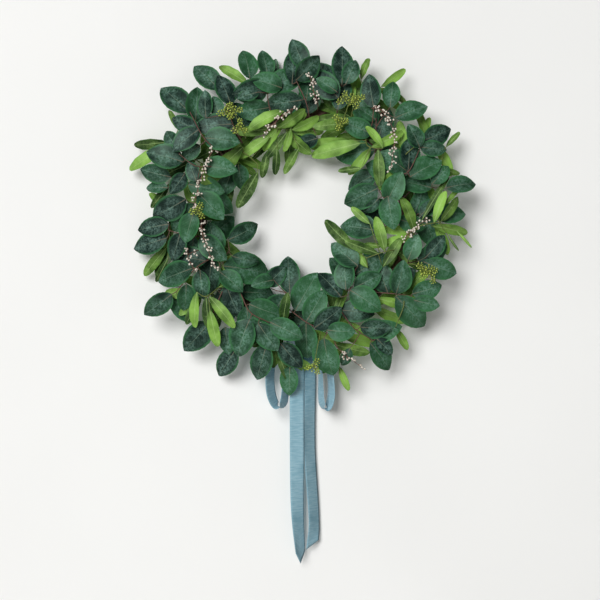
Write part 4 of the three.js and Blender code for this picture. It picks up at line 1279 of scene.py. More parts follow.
def turned_shape(name: str, profile: Sequence[Place], sides: int) -> Thing:
    """Makes a small closed solid of revolution about Z.

    Args:
        name: the shape's name.
        profile: (height, radius) from bottom to top, ending in points on the axis.
        sides: how many sides it has.

    Returns:
        An object whose points say how far along it they are.
    """
    mesh = bpy.data.meshes.new(name)
    body = bmesh.new()
    rings = []
    for height, radius in profile:
        turns = [TURN * i / sides for i in range(sides if radius else 1)]
        ring = [
            body.verts.new((radius * math.cos(t), radius * math.sin(t), height)) for t in turns
        ]
        rings.append(ring)
    for low, high in zip(rings, rings[1:]):
        for i in range(sides):
            j = (i + 1) % sides
            corners = [ring[k % len(ring)] for ring, k in ((low, i), (low, j), (high, j), (high, i))]
            body.faces.new(list(dict.fromkeys(corners)))
    bmesh.ops.recalc_face_normals(body, faces=body.faces)
    body.to_mesh(mesh)
    body.free()
    heights = [vertex.co.z for vertex in mesh.vertices]
    mesh.attributes.new("along", "FLOAT", "POINT").data.foreach_set("value", heights)
    return linked(name, mesh)


# Finishes


@dataclass(frozen=True)
class Finish:
    """A named material with one roughness; each kind adds its own nodes."""

    title: str
    roughness: float

    def build(self) -> Paint:
        """Makes the material."""
        material = bpy.data.materials.new(self.title)
        material.use_nodes = True
        tree = material.node_tree
        shader = tree.nodes["Principled BSDF"]
        shader.inputs["Roughness"].default_value = self.roughness
        colour, bump = self.dress(tree, shader)
        tree.links.new(colour, shader.inputs["Base Color"])
        if bump is not None:
            tree.links.new(bump, shader.inputs["Normal"])
        return material

    def dress(self, tree: Tree, shader: bpy.types.Node) -> Dressed:
        """Adds the finish's own nodes and returns its colour and bump."""
        raise NotImplementedError


@dataclass(frozen=True)
class LeafFinish(Finish):
    """Moulded and printed polyester leaf: matt, with a dusty bloom that also serves as painted
    highlight, painted shade towards the stalk, pale ribs and a fresh rim.

    Attributes:
        deep: colour in the body of the blade, also laid on as painted shade towards the stalk.
        fresh: the greener colour that it drifts to.
        bloom_and_highlight: the dust on its face, paler so that it also stands in for the leaf's
            highlights (painted highlight).
        rim: colour along its edge.
        rib: colour of its midrib.
        foot: colour of the midrib near the stalk.
        under: colour of its back.
        gloss: tint of its shine.
        dust_and_highlight: how much of the dust and its painted highlight there is.
        rimmed: how strongly the rim shows.
        vein_gap: distance between side veins, in metres.
        slant: how far a side vein climbs for each step across.
    """

    deep: str = "#0a1f1a"
    fresh: str = "#2f6039"
    bloom_and_highlight: str = "#8fb8aa"
    rim: str = "#3f7a49"
    rib: str = "#7f9780"
    foot: str = "#8d6c58"
    under: str = "#527467"
    gloss: str = "#c6e2d2"
    dust_and_highlight: float = 0.55
    rimmed: float = 0.65
    vein_gap: float = 0.0052
    slant: float = 1.0

    def dress(self, tree: Tree, shader: bpy.types.Node) -> Dressed:
        """Adds veins, the bloom with its painted highlight, painted shade towards the stalk, the rim
        and the paler back.
        """
        spot = put(tree, ATTRIBUTE, out="Vector", attribute_name="spot")
        x, y, layer = (put(tree, PARTS, {0: spot}, out=name) for name in "XYZ")
        across, along, tone = (
            put(tree, ATTRIBUTE, out="Fac", attribute_name=name) for name in ("across", "along", "tone")
        )
        place = put(tree, COORDINATE, out="Object")
        beside = put(tree, UNSIGNED, {0: x})
        across = put(tree, UNSIGNED, {0: across})
        # Leaves drift in patches of 22 mm, and their bloom, whose colour also stands in for their
        # highlights (painted highlight), has specks of 4 mm and finer.
        drift = put(tree, NOISE, {"Vector": place, "Scale": 45.0, "Detail": 3.0})
        dust = put(tree, NOISE, {"Vector": place, "Scale": 240.0, "Detail": 6.0, "Roughness": 0.7})
        body = put(tree, PLUS, (drift, tone))
        body = put(tree, SMOOTH, (body, 0.55, 1.5))
        # Painted highlight: the pale dust is laid on more near the midrib and in some patches, in place
        # of the leaves' shine.
        dust_and_highlight = put(tree, SMOOTH, (dust, 0.15, 0.8, -0.5 * self.dust_and_highlight, self.dust_and_highlight))
        more = put(tree, LESS, (1.25, across))
        dust_and_highlight = put(tree, TIMES, (dust_and_highlight, more))
        more = put(tree, SMOOTH, (drift, 0.3, 0.62))
        dust_and_highlight = put(tree, TIMES, (dust_and_highlight, more))
        rim = put(tree, SMOOTH, (across, 0.72, 1.0, 0.0, self.rimmed))
        # The side veins leave the midrib at a slant and fade before the edge.
        climb = put(tree, TIMES_PLUS, (beside, -self.slant, y))
        count = put(tree, OVER, (climb, self.vein_gap))
        count = put(tree, TIMES_PLUS, (drift, 0.7, count))
        vein = put(tree, PINGPONG, (count, 0.5))
        vein = put(tree, SMOOTH, (vein, 0.09, 0.0))
        fade = put(tree, SMOOTH, (across, 1.0, 0.3))
        vein = put(tree, TIMES, (vein, fade))
        faint = put(tree, TIMES, (vein, 0.16))
        thin = put(tree, LESS, (1.25, along))
        near = put(tree, OVER, (beside, thin))
        rib = put(tree, SMOOTH, (near, 0.0009, 0.0003))
        strong = put(tree, TIMES, (rib, 0.5))
        red = put(tree, STEADY, (along, 0.4, 0.0))
        red = put(tree, BLEND, {"Factor": red, "A": self.rib, "B": self.foot})
        back = put(tree, SMOOTH, (layer, -0.02, -0.12, 0.0, 0.85))
        # Painted shade: each blade darkens to its deep colour over the half nearest its stalk.
        low = put(tree, SMOOTH, (along, 0.45, 0.0, 0.0, 0.55))
        colour = put(tree, BLEND, {"Factor": body, "A": self.deep, "B": self.fresh})
        coats = (
            (dust_and_highlight, self.bloom_and_highlight), (low, self.deep), (rim, self.rim), (faint, self.rib),
            (back, self.under), (strong, red),
        )
        for share, coat in coats:
            colour = put(tree, BLEND, {"Factor": share, "A": colour, "B": coat})
        height = put(tree, TIMES_PLUS, (vein, 0.5, rib))
        height = put(tree, TIMES_PLUS, (dust, 0.3, height))
        bump = put(tree, BUMP, {"Strength": 0.5, "Distance": 0.0006, "Height": height})
        rough = (dust, 0.3, 0.7, self.roughness - 0.08, self.roughness + 0.1)
        tree.links.new(put(tree, STEADY, rough), shader.inputs["Roughness"])
        shader.inputs["Specular IOR Level"].default_value = 0.32
        shader.inputs["Specular Tint"].default_value = linear(self.gloss)
        shader.inputs["Sheen Weight"].default_value = 0.03
        shader.inputs["Sheen Roughness"].default_value = 0.5
        return colour, bump


@dataclass(frozen=True)
class BarkFinish(Finish):
    """Wrapped or natural twig: matt, streaked along its length, paler where it turns to a rib."""

    dark: str = "#5a4036"
    mid: str = "#7d5c4b"
    pale: str = "#a9b59a"
    fleck: str = "#8e7460"
    fine: float = 900.0
    depth: float = 0.0004

    def dress(self, tree: Tree, shader: bpy.types.Node) -> Dressed:
        """Adds streaks along the twig and the paler end."""
        run, around, pale = (
            put(tree, ATTRIBUTE, out="Fac", attribute_name=name) for name in ("run", "around", "pale")
        )
        place = put(tree, COORDINATE, out="Object")
        turn = put(tree, TIMES, (around, TURN))
        round_x = put(tree, COS, {0: turn})
        round_y = put(tree, SIN, {0: turn})
        far = put(tree, TIMES, (run, 60.0))
        skin = put(tree, JOINED, {"X": round_x, "Y": round_y, "Z": far})
        long = {"Vector": skin, "Scale": 3.4, "Detail": 5.0, "Roughness": 0.7, "Distortion": 0.6}
        streak = put(tree, NOISE, long)
        fleck = put(tree, NOISE, {"Vector": place, "Scale": self.fine, "Detail": 3.0})
        mid = put(tree, SMOOTH, (streak, 0.36, 0.64))
        spots = put(tree, SMOOTH, (fleck, 0.58, 0.74, 0.0, 0.5))
        colour = put(tree, BLEND, {"Factor": mid, "A": self.dark, "B": self.mid})
        for share, coat in ((spots, self.fleck), (pale, self.pale)):
            colour = put(tree, BLEND, {"Factor": share, "A": colour, "B": coat})
        height = put(tree, TIMES_PLUS, (fleck, 0.4, streak))
        bump = put(tree, BUMP, {"Strength": 0.7, "Distance": self.depth, "Height": height})
        return colour, bump


@dataclass(frozen=True)
class GrainFinish(Finish):
    """Painted foam bud or seed: satin, with a darker foot and small stains."""

    foot: str = "#80584c"
    body: str = "#e6dfd2"
    stain: str = "#bfa694"
    foot_end: float = 0.45

    def dress(self, tree: Tree, shader: bpy.types.Node) -> Dressed:
        """Adds the foot and the stains."""
        along = put(tree, ATTRIBUTE, out="Fac", attribute_name="along")
        place = put(tree, COORDINATE, out="Object")
        stain = put(tree, NOISE, {"Vector": place, "Scale": 500.0, "Detail": 3.0})
        stained = put(tree, SMOOTH, (stain, 0.45, 0.7))
        low = put(tree, SMOOTH, (along, self.foot_end, self.foot_end - 0.12))
        colour = put(tree, BLEND, {"Factor": stained, "A": self.body, "B": self.stain})
        colour = put(tree, BLEND, {"Factor": low, "A": colour, "B": self.foot})
        bump = put(tree, BUMP, {"Strength": 0.4, "Distance": 0.0003, "Height": stain})
        return colour, bump


@dataclass(frozen=True)
class RibbonFinish(Finish):
    """Woven polyester ribbon: soft satin sheen over fine crosswise ribs and a firm selvedge."""

    cloth: str = "#84afbf"
    worn: str = "#9bc0cd"
    deep: str = "#5f8fa1"
    rib_gap: float = 0.0011
    width: float = 0.025

    def dress(self, tree: Tree, shader: bpy.types.Node) -> Dressed:
        """Adds ribs, slubs and the selvedge from the cloth's own map."""
        cloth = put(tree, "ShaderNodeUVMap", uv_map="cloth")
        across, along = (put(tree, PARTS, {0: cloth}, out=name) for name in "XY")
        # The ribs are drawn twice as wide as real 0.5 mm weft ribs, so that they show at all.
        turns = TURN / self.rib_gap
        ribs, warp = (
            put(tree, SIN, {0: put(tree, TIMES, (way, turns))})
            for way in (along, across)
        )
        long_way = put(tree, "ShaderNodeMapping", {"Vector": cloth, "Scale": (60.0, 420.0, 1.0)})
        slub = put(tree, NOISE, {"Vector": long_way, "Scale": 1.0, "Detail": 4.0})
        wide = put(tree, "ShaderNodeMapping", {"Vector": cloth, "Scale": (30.0, 24.0, 1.0)})
        drift = put(tree, NOISE, {"Vector": wide, "Scale": 1.0, "Detail": 2.0})
        worn = put(tree, SMOOTH, (slub, 0.35, 0.65))
        faded = put(tree, SMOOTH, (drift, 0.5, 0.75, 0.0, 0.5))
        # Painted shade: the troughs of the crosswise ribs are darkened towards the deep blue.
        low = put(tree, SMOOTH, (ribs, -0.2, -1.0, 0.0, 0.22))
        off = put(tree, LESS, (across, self.width / 2))
        off = put(tree, UNSIGNED, {0: off})
        edge = put(tree, SMOOTH, (off, self.width / 2 - 0.0012, self.width / 2 - 0.0006, 0.0, 0.35))
        colour = put(tree, BLEND, {"Factor": worn, "A": self.cloth, "B": self.worn})
        for share in (faded, low, edge):
            colour = put(tree, BLEND, {"Factor": share, "A": colour, "B": self.deep})
        height = put(tree, TIMES_PLUS, (warp, 0.35, ribs))
        height = put(tree, TIMES_PLUS, (slub, 1.2, height))
        bump = put(tree, BUMP, {"Strength": 0.35, "Distance": 0.0003, "Height": height})
        shader.inputs["Sheen Weight"].default_value = 0.3
        shader.inputs["Sheen Roughness"].default_value = 0.4
        return colour, bump


@dataclass(frozen=True)
class PlasterFinish(Finish):
    """Painted wall or floor: plain and matt, with the faintest unevenness.

    Attributes:
        paint: its colour.
        drifted: the colour that it drifts to.
        one_sided: whether it is painted on its front only, so that what hangs on it can also be
            looked at from behind.
    """

    paint: str = "#f4f4f2"
    drifted: str = "#f1f1ef"
    one_sided: bool = False

    def dress(self, tree: Tree, shader: bpy.types.Node) -> Dressed:
        """Adds the paint's faint drift."""
        place = put(tree, COORDINATE, out="Object")
        drift = put(tree, NOISE, {"Vector": place, "Scale": 2.0, "Detail": 2.0})
        share = put(tree, SMOOTH, (drift, 0.3, 0.7))
        colour = put(tree, BLEND, {"Factor": share, "A": self.paint, "B": self.drifted})
        shader.inputs["Specular IOR Level"].default_value = 0.1
        if self.one_sided:
            behind = put(tree, "ShaderNodeNewGeometry", out="Backfacing")
            clear = put(tree, "ShaderNodeBsdfTransparent")
            sides = (behind, shader.outputs["BSDF"], clear)
            surface = tree.nodes["Material Output"].inputs["Surface"]
            tree.links.new(put(tree, "ShaderNodeMixShader", sides), surface)
        return colour, None


# The leaves are preserved-look polyester. The broad ones carry a silvery dust that makes them look
# blue-green and matt, its pale colour also standing in for their highlights (painted highlight), and
# the long ones are printed a fresh yellow-green.
BROAD_LEAF = LeafFinish("Printed polyester eucalyptus leaf", 0.4)
LONG_LEAF = LeafFinish(
    "Printed polyester willow leaf", 0.46,
    deep="#17350d", fresh="#8dbc50", bloom_and_highlight="#b6d98a", rim="#578f33", rib="#aecf82",
    foot="#98bd6c", under="#8ab258", gloss="#e6f2d4", dust_and_highlight=0.35, rimmed=0.3,
    vein_gap=0.0042, slant=1.6,
)
# Wrapped wire stems, red-brown in the eucalyptus and olive in the willow.
EUCALYPTUS_STEM = BarkFinish("Wrapped wire eucalyptus stem", 0.7, "#4a322a", "#735044", "#5f7662")
WILLOW_STEM = BarkFinish("Wrapped wire willow stem", 0.65, "#4f5c2a", "#75823c", "#93b765")
BUD_TWIG = BarkFinish("Wrapped wire bud twig", 0.7, "#56362f", "#85594c", "#a98c7c")
SEED_STALK = BarkFinish("Moulded seed stalk", 0.6, "#55642a", "#77863a", "#8f9e44")
# The bare twisted vines that everything is pushed into, dull and rough.
VINE = BarkFinish("Stripped grape vine", 0.85, "#3d2b21", "#65493a", "#75594a", "#7a6250", 420.0,
                  0.0009)
# Off-white buds with brown feet, and round seeds of a bright yellow-green.
BUD = GrainFinish("Painted foam bud", 0.45)
SEED = GrainFinish(
    "Moulded green seed", 0.5, foot="#7c8d36", body="#adc04c", stain="#ccd974", foot_end=0.2
)
# The soft blue ribbon, a little darker where its ribs catch shade.
RIBBON = RibbonFinish("Woven polyester ribbon", 0.62)
# The plain room that the wreath is shown in.
WALL = PlasterFinish("Matt wall paint", 0.9, one_sided=True)
FLOOR = PlasterFinish("Pale painted floor", 0.8, "#eeedea", "#e9e8e5")


# Pieces

Work = tuple["Points", Paint, str]


class Part:
    """A sub-assembly: it makes its pieces, dresses them and hides the CAD nodes that they stand in for.
    """

    def keep(self, piece: Thing, slot: str, *nodes: str) -> Thing:
        """Lets a piece ride on the wreath in place of its CAD nodes, and reports it."""
        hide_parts(*nodes)
        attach(piece, "root")
        LOG.info("%s: %d faces", piece.name, len(piece.data.polygons))
        return piece


@dataclass
class VineRing(Part):
    """The ring of twisted vine that carries everything. Sizes are in mm.

    Attributes:
        strands: how many thick vines are twisted together.
        strand_radius: radius of a thick vine.
        offset: how far a thick vine's middle is from the ring's middle line.
        turns: how often a vine goes round the ring's middle line.
        stations: how many points a vine has.
        tendrils: how many thin shoots wind round the outside.
        tendril_offset: how far a shoot's middle is from the ring's middle line.
        knots: how many thickened knots a thick vine has.
        knot_rise: how far a knot stands out.
    """

    strands: int = 3
    strand_radius: float = 6.4
    offset: float = 5.4
    turns: int = 4
    stations: int = 240
    tendrils: int = 3
    tendril_offset: float = 11.3
    knots: int = 9
    knot_rise: float = 0.7

    def strand(self, phase: float, offset: float, turns: float, rough: float) -> Array:
        """Returns one closed vine's points."""
        draw = random.Random(round(phase * 1000))
        bumps = [(draw.randint(3, 17), draw.random() * ANY_TURN) for _ in range(4)]
        found = []
        for i in range(self.stations + 1):
            station = TURN * i / self.stations
            angle = phase + turns * station
            off = offset + rough * sum(math.sin(n * station + p) for n, p in bumps)
            out = PICTURE.ring_radius + off * math.cos(angle)
            z = PICTURE.ring_z + out * math.cos(station)
            found.append(np.array([out * math.sin(station), off * math.sin(angle), z]))
        return np.array(found)

    def build(self, stems: StemTree) -> None:
        """Makes the vines as one piece."""
        points = Points()
        for i in range(self.strands):
            phase = math.pi + TURN * i / self.strands
            line = self.strand(phase, self.offset, self.turns, 0.15)
            draw = random.Random(31 + i)
            knots = [
                (draw.uniform(0, self.stations), draw.uniform(2, 5)) for _ in range(self.knots)
            ]
            thick = [
                self.strand_radius
                + sum(self.knot_rise * math.exp(-(((j - at) / wide) ** 2)) for at, wide in knots)
                for j in range(len(line))
            ]
            points.add_line(line, thick)
        for i in range(self.tendrils):
            line = self.strand(0.7 + 2.1 * i, self.tendril_offset, 9 + 2 * i, 0.1)
            points.add_line(line, 0.9 + 0.2 * i, 0.25)
        piece = stems.grow("vine_ring_twist", points, VINE.build(), Sides=10)
        self.keep(piece, "vine", "vine_ring")


@dataclass
class Foliage(Part):
    """The leafy sprigs. Sizes are in mm.

    Attributes:
        stem_radius: radius of a sprig's stem where it leaves the vine.
        petiole_radius: radius of a leaf's own stalk.
        rib_radius: radius of the rib that the stalk becomes along the blade.
        rib_sunk: how far the rib's middle is under the blade's face.
        stem_taper: a stem's radius at its tip, as a share of that at its root.
        sag: how far a long stalk sags, as a share of its length.
    """

    stem_radius: float = 1.3
    petiole_radius: float = 0.75
    rib_radius: float = 0.16
    rib_sunk: float = 0.1
    stem_taper: float = 0.6
    sag: float = 0.06

    RIB_STOPS = (0.1, 0.25, 0.42, 0.6, 0.76, 0.9)
    RIB_SHARES = (1.5, 1.2, 1.0, 0.8, 0.65, 0.4)
    RIB_PALE = (0.35, 0.75, 0.95, 1, 1, 1, 1)

    def __post_init__(self) -> None:
        """Reads the sprigs from the wreath's lists."""
        kinds = (
            ("eucalyptus_sprig", EUCALYPTUS_SPRIGS, 1000, Form.BROAD),
            ("light_leaf_sprig", LIGHT_SPRIGS, 5000, Form.LONG),
        )
        self.sprigs = [
            Sprig(f"{name}_{i + 1:02d}", layer, places, seed + SEED_STEP * i, leaves, form)
            for name, sprigs, seed, form in kinds
            for i, (layer, places, leaves) in enumerate(sprigs)
        ]

    def midrib(self, leaf: Leaf) -> tuple[Array, list[float], list[float]]:
        """Returns the line of a leaf's stalk and midrib, its radii and how pale it is."""
        axis, face, length = leaf.frame()
        blade = BLADES[leaf.form]
        places = [leaf.root]
        way = leaf.base - leaf.root
        if np.linalg.norm(way) > 5:
            down = np.array([0, 0, self.sag * np.linalg.norm(way)])
            places.append(leaf.root + way * 0.5 - down)
        places.append(leaf.base)
        stalk = len(places)
        for at in self.RIB_STOPS:
            lift = leaf.rise(at, length) - self.rib_sunk
            places.append(leaf.base + axis * (at * length) + face * lift)
        small = 0.7 if blade.ratio < 0.2 else 1.0
        thick = [self.petiole_radius * small] * stalk
        thick += [self.rib_radius * small * share for share in self.RIB_SHARES]
        return np.array(places), thick, [0.0] * (stalk - 1) + [*self.RIB_PALE]

    def build(self, leaves: LeafTree, stems: StemTree) -> None:
        """Makes every sprig's blades and stems."""
        shapes = {form: blade_shape(form.value, BLADES[form].outline) for form in Form}
        broad, long = BROAD_LEAF.build(), LONG_LEAF.build()
        stem_paint = {Form.BROAD: EUCALYPTUS_STEM.build(), Form.LONG: WILLOW_STEM.build()}
        for sprig in self.sprigs:
            sprig.gather()
        Thicket(self.sprigs).fill()
        for sprig in self.sprigs:
            slot = "eucalyptus_leaf" if sprig.form is Form.BROAD else "light_leaf"
            lines = Points()
            stem = curve_at(sprig.points, np.linspace(0, 1, 8 * len(sprig.points)))
            tip = self.stem_radius * self.stem_taper
            lines.add_line(stem, np.linspace(self.stem_radius, tip, len(stem)))
            for leaf in sprig.leaves:
                lines.add_line(*self.midrib(leaf))
            piece = stems.grow(sprig.node + "_stems", lines, stem_paint[sprig.form], Sides=6)
            self.keep(piece, slot, sprig.node)
            for form in Form:
                points = Points()
                for leaf in sprig.leaves:
                    if leaf.form is form:
                        self.tell(points, leaf)
                if not points.places:
                    continue
                blade = BLADES[form]
                piece = leaves.grow(
                    f"{sprig.node}_{form.value}_leaves", points,
                    broad if form is Form.BROAD else long, shapes[form],
                    Cup=blade.cup, Wave=blade.wave * MM, Waves=blade.waves,
                )
                self.keep(piece, slot, sprig.node)
        for shape in shapes.values():
            bpy.data.objects.remove(shape)

    def tell(self, points: Points, leaf: Leaf) -> None:
        """Adds a point that tells the leaf tree of one leaf."""
        axis, face, length = leaf.frame()
        points.add(
            leaf.base, base=leaf.base * MM, axis=axis, face=face, side=np.cross(axis, face),
            half=leaf.half * MM, length=length * MM, arch=leaf.arch, tone=leaf.tone,
            fold=leaf.fold(), curl=leaf.curl(),
        )


@dataclass
class BudSpray(Growth):
    """A twig of buds, as its solid has it.

    Attributes:
        start: the share of the twig where buds begin.
        count: how many buds the solid has.
    """

    start: float
    count: int

    FIRST = 0.6
    LEAN = 0.9
    LENGTH = 9
    SIZE_LEAST = 0.85
    SIZE_SPREAD = 0.3

    def along(self, place: Array) -> Array:
        """Returns the way that the twig runs near a place."""
        row = int(np.argmin(np.linalg.norm(self.line[:-1] - place, axis=1)))
        return unit(self.line[row + 1] - self.line[row])

    def buds(self, line: Array) -> list[tuple[Array, Array]]:
        """Returns each bud's root and tip."""
        draw = Draws(self.seed)
        found = []
        for i in range(self.count):
            at = self.start + (1 - self.start) * (i + self.FIRST) / self.count
            row = math.floor(at * (len(line) - 1))
            near, far = line[row], line[row + 1]
            root = near + (far - near) * (at * (len(line) - 1) - row)
            along = unit(far - near)
            side = unit(np.cross(np.array([0.0, -1.0, 0.0]), along))
            way = turned(side, along, i * GOLDEN + draw()) + along * self.LEAN
            way[1] = -abs(way[1])
            size = self.SIZE_LEAST + draw() * self.SIZE_SPREAD
            found.append((root, root + unit(way) * self.LENGTH * size))
        return found

    def likeness(self, line: Array) -> float:
        """Returns how many buds end where the solid has a tip."""
        tips = np.array([tip for _, tip in self.buds(line)])
        return float(np.maximum(0, 1 - self.distance(tips) / self.NEAR).sum())


def seed_way(number: int, count: int, fall: float) -> Array:
    """Returns the way to one of a head's seeds, which fill a cap of a ball from its front."""
    front = 1 - fall * (number + 0.5) / count
    wide, turn = math.sqrt(1 - front * front), number * GOLDEN
    return np.array([wide * math.cos(turn), -front, wide * math.sin(turn)])


@dataclass
class SeedHead(Growth):
    """A stalk with round heads of seeds, as its solid has it.

    Attributes:
        heads: the places of its heads.
    """

    heads: Sequence[Place]

    HEAD_LIFT = 5
    SEEDS = 5
    FALL = 1.35
    REACH = 9

    def middles(self, line: Array) -> list[tuple[Array, Array]]:
        """Returns where each head's own stalk leaves, and the head's middle."""
        found = []
        for x, y in self.heads:
            near = self.nearest(line, x, y)
            found.append((near, PICTURE.place(x, y, near[1] - self.HEAD_LIFT)))
        return found

    def likeness(self, line: Array) -> float:
        """Returns how many seeds end where the solid has a tip."""
        tips = []
        for _, middle in self.middles(line):
            for i in range(self.SEEDS):
                tips.append(middle + seed_way(i, self.SEEDS, self.FALL) * self.REACH)
        return float(np.maximum(0, 1 - self.distance(np.array(tips)) / self.NEAR).sum())


@dataclass
class Blossom(Part):
    """The bud sprays and the seed heads. Sizes are in mm.

    Attributes:
        bud_length: length of a bud with its stalk.
        bud_width: width of a bud.
        buds_each: how many buds the piece has for each one in the solid.
        seeds_a_head: how many seeds a head has.
        head_radius: from a head's middle to its outermost seeds.
        seed_radius: radius of a seed.
        side_heads: how many smaller heads stand round each one.
        side_gap: from a head's middle to those of its side heads.
        side_share: how many seeds a side head has, as a share of a head's.
        fall: how far round from its front a head bears seeds: 2 is all round.
        bud_spread: how far along the twig a bud's neighbours stand.
    """

    BUD_PROFILE = ((0, 0), (0.02, 0.08), (0.3, 0.1), (0.42, 0.3), (0.62, 0.5), (0.84, 0.4), (1, 0))
    SEED_PROFILE = ((-1, 0), (-0.6, 0.75), (0.1, 1), (0.75, 0.65), (1, 0))

    bud_length: float = 6.0
    bud_width: float = 3.6
    buds_each: int = 5
    seeds_a_head: int = 15
    head_radius: float = 8.0
    seed_radius: float = 1.35
    side_heads: int = 3
    side_gap: float = 10.5
    side_share: float = 0.6
    fall: float = 1.5
    bud_spread: float = 9

    def build(self, stems: StemTree, grains: GrainTree) -> None:
        """Makes the sprays and the heads.

        Args:
            stems: the tree of nodes that makes twigs.
            grains: the one that makes buds and seeds.
        """
        self.stems, self.grains = stems, grains
        bud = turned_shape("bud", self.BUD_PROFILE, 7)
        seed = turned_shape("seed", self.SEED_PROFILE, 6)
        bud_paint, twig_paint = BUD.build(), BUD_TWIG.build()
        seed_paint, stalk_paint = SEED.build(), SEED_STALK.build()
        for i, (twig, start, count) in enumerate(BUD_SPRAYS):
            name = f"bud_spray_{i + 1:02d}"
            spray = BudSpray(name, Layer.SPRAY, twig, 8000 + SEED_STEP * i, start, count)
            spray.settle()
            lines, points = self.buds(spray)
            self.finish(spray, "bud", (lines, twig_paint, "twig"), (points, bud_paint, "buds"), bud)
        for i, (stalk, heads) in enumerate(SEED_HEADS):
            name = f"seed_head_{i + 1:02d}"
            head = SeedHead(name, Layer.SPRAY, stalk, 9000 + SEED_STEP * i, heads)
            head.settle()
            lines, points = self.seeds(head)
            stalks, grain = (lines, stalk_paint, "stalks"), (points, seed_paint, "seeds")
            self.finish(head, "seed", stalks, grain, seed)
        bpy.data.objects.remove(bud)
        bpy.data.objects.remove(seed)

    def finish(self, growth: Growth, slot: str, wood: Work, grain: Work, shape: Thing) -> None:
        """Makes the two pieces of a spray or a head: its twigs, and its buds or seeds."""
        lines, paint, word = wood
        piece = self.stems.grow(f"{growth.node}_{word}", lines, paint, Sides=5)
        self.keep(piece, slot, growth.node)
        points, paint, word = grain
        piece = self.grains.grow(f"{growth.node}_{word}", points, paint, shape)
        self.keep(piece, slot, growth.node)

    def buds(self, spray: BudSpray) -> tuple[Points, Points]:
        """Returns a spray's twig with the buds' short stalks, and its buds."""
        draw = random.Random(spray.seed)
        lines, points = Points(), Points()
        twig = curve_at(spray.points, np.linspace(0, 1, 8 * len(spray.points)))
        lines.add_line(twig, np.linspace(0.9, 0.5, len(twig)))
        for root, tip in spray.buds(spray.line):
            for j in range(self.buds_each):
                way = unit(tip - root)
                if j:
                    way = unit(way + 0.75 * np.array([draw.uniform(-1, 1) for _ in range(3)]))
                    way[1] = -abs(way[1])
                off = draw.uniform(-self.bud_spread, self.bud_spread) if j else 0.0
                start = root + spray.along(root) * off
                size = self.bud_length * draw.uniform(0.8, 1.1)
                reach = draw.uniform(1.5, 4.5)
                foot = start + way * reach
                lines.add_line(np.array([start, foot + way * 0.6]), 0.4, [0.1, 0.3])
                wide = self.bud_width * draw.uniform(0.85, 1.1) * MM
                points.add(foot, way=way, wide=wide, long=size * MM)
        return lines, points

    def seeds(self, head: SeedHead) -> tuple[Points, Points]:
        """Returns a head's stalks, and the seeds of its round heads."""
        draw = random.Random(head.seed)
        lines, points = Points(), Points()
        stalk = curve_at(head.points, np.linspace(0, 1, 8 * len(head.points)))
        lines.add_line(stalk, np.linspace(0.9, 0.6, len(stalk)))
        for near, middle in head.middles(head.line):
            umbels = [(middle, self.head_radius, self.seeds_a_head)]
            first = draw.uniform(0, ANY_TURN)
            for i in range(self.side_heads):
                turn = first + TURN * i / self.side_heads
                off = np.array([math.cos(turn), draw.uniform(-0.3, 0.5), math.sin(turn)])
                small = self.head_radius * draw.uniform(0.55, 0.75)
                count = round(self.seeds_a_head * self.side_share)
                umbels.append((middle + off * self.side_gap, small, count))
            for centre, radius, count in umbels:
                lines.add_line(np.array([near, centre]), [0.8, 0.6], [0.2, 0.5])
                for i in range(count):
                    way = unit(seed_way(i, count, self.fall))
                    end = centre + way * radius * draw.uniform(0.72, 1.0)
                    lines.add_line(np.array([centre, end]), [0.35, 0.3], [0.4, 0.8])
                    size = self.seed_radius * draw.uniform(0.8, 1.15) * MM
                    points.add(end, way=way, wide=size, long=size * 1.15)
        return lines, points


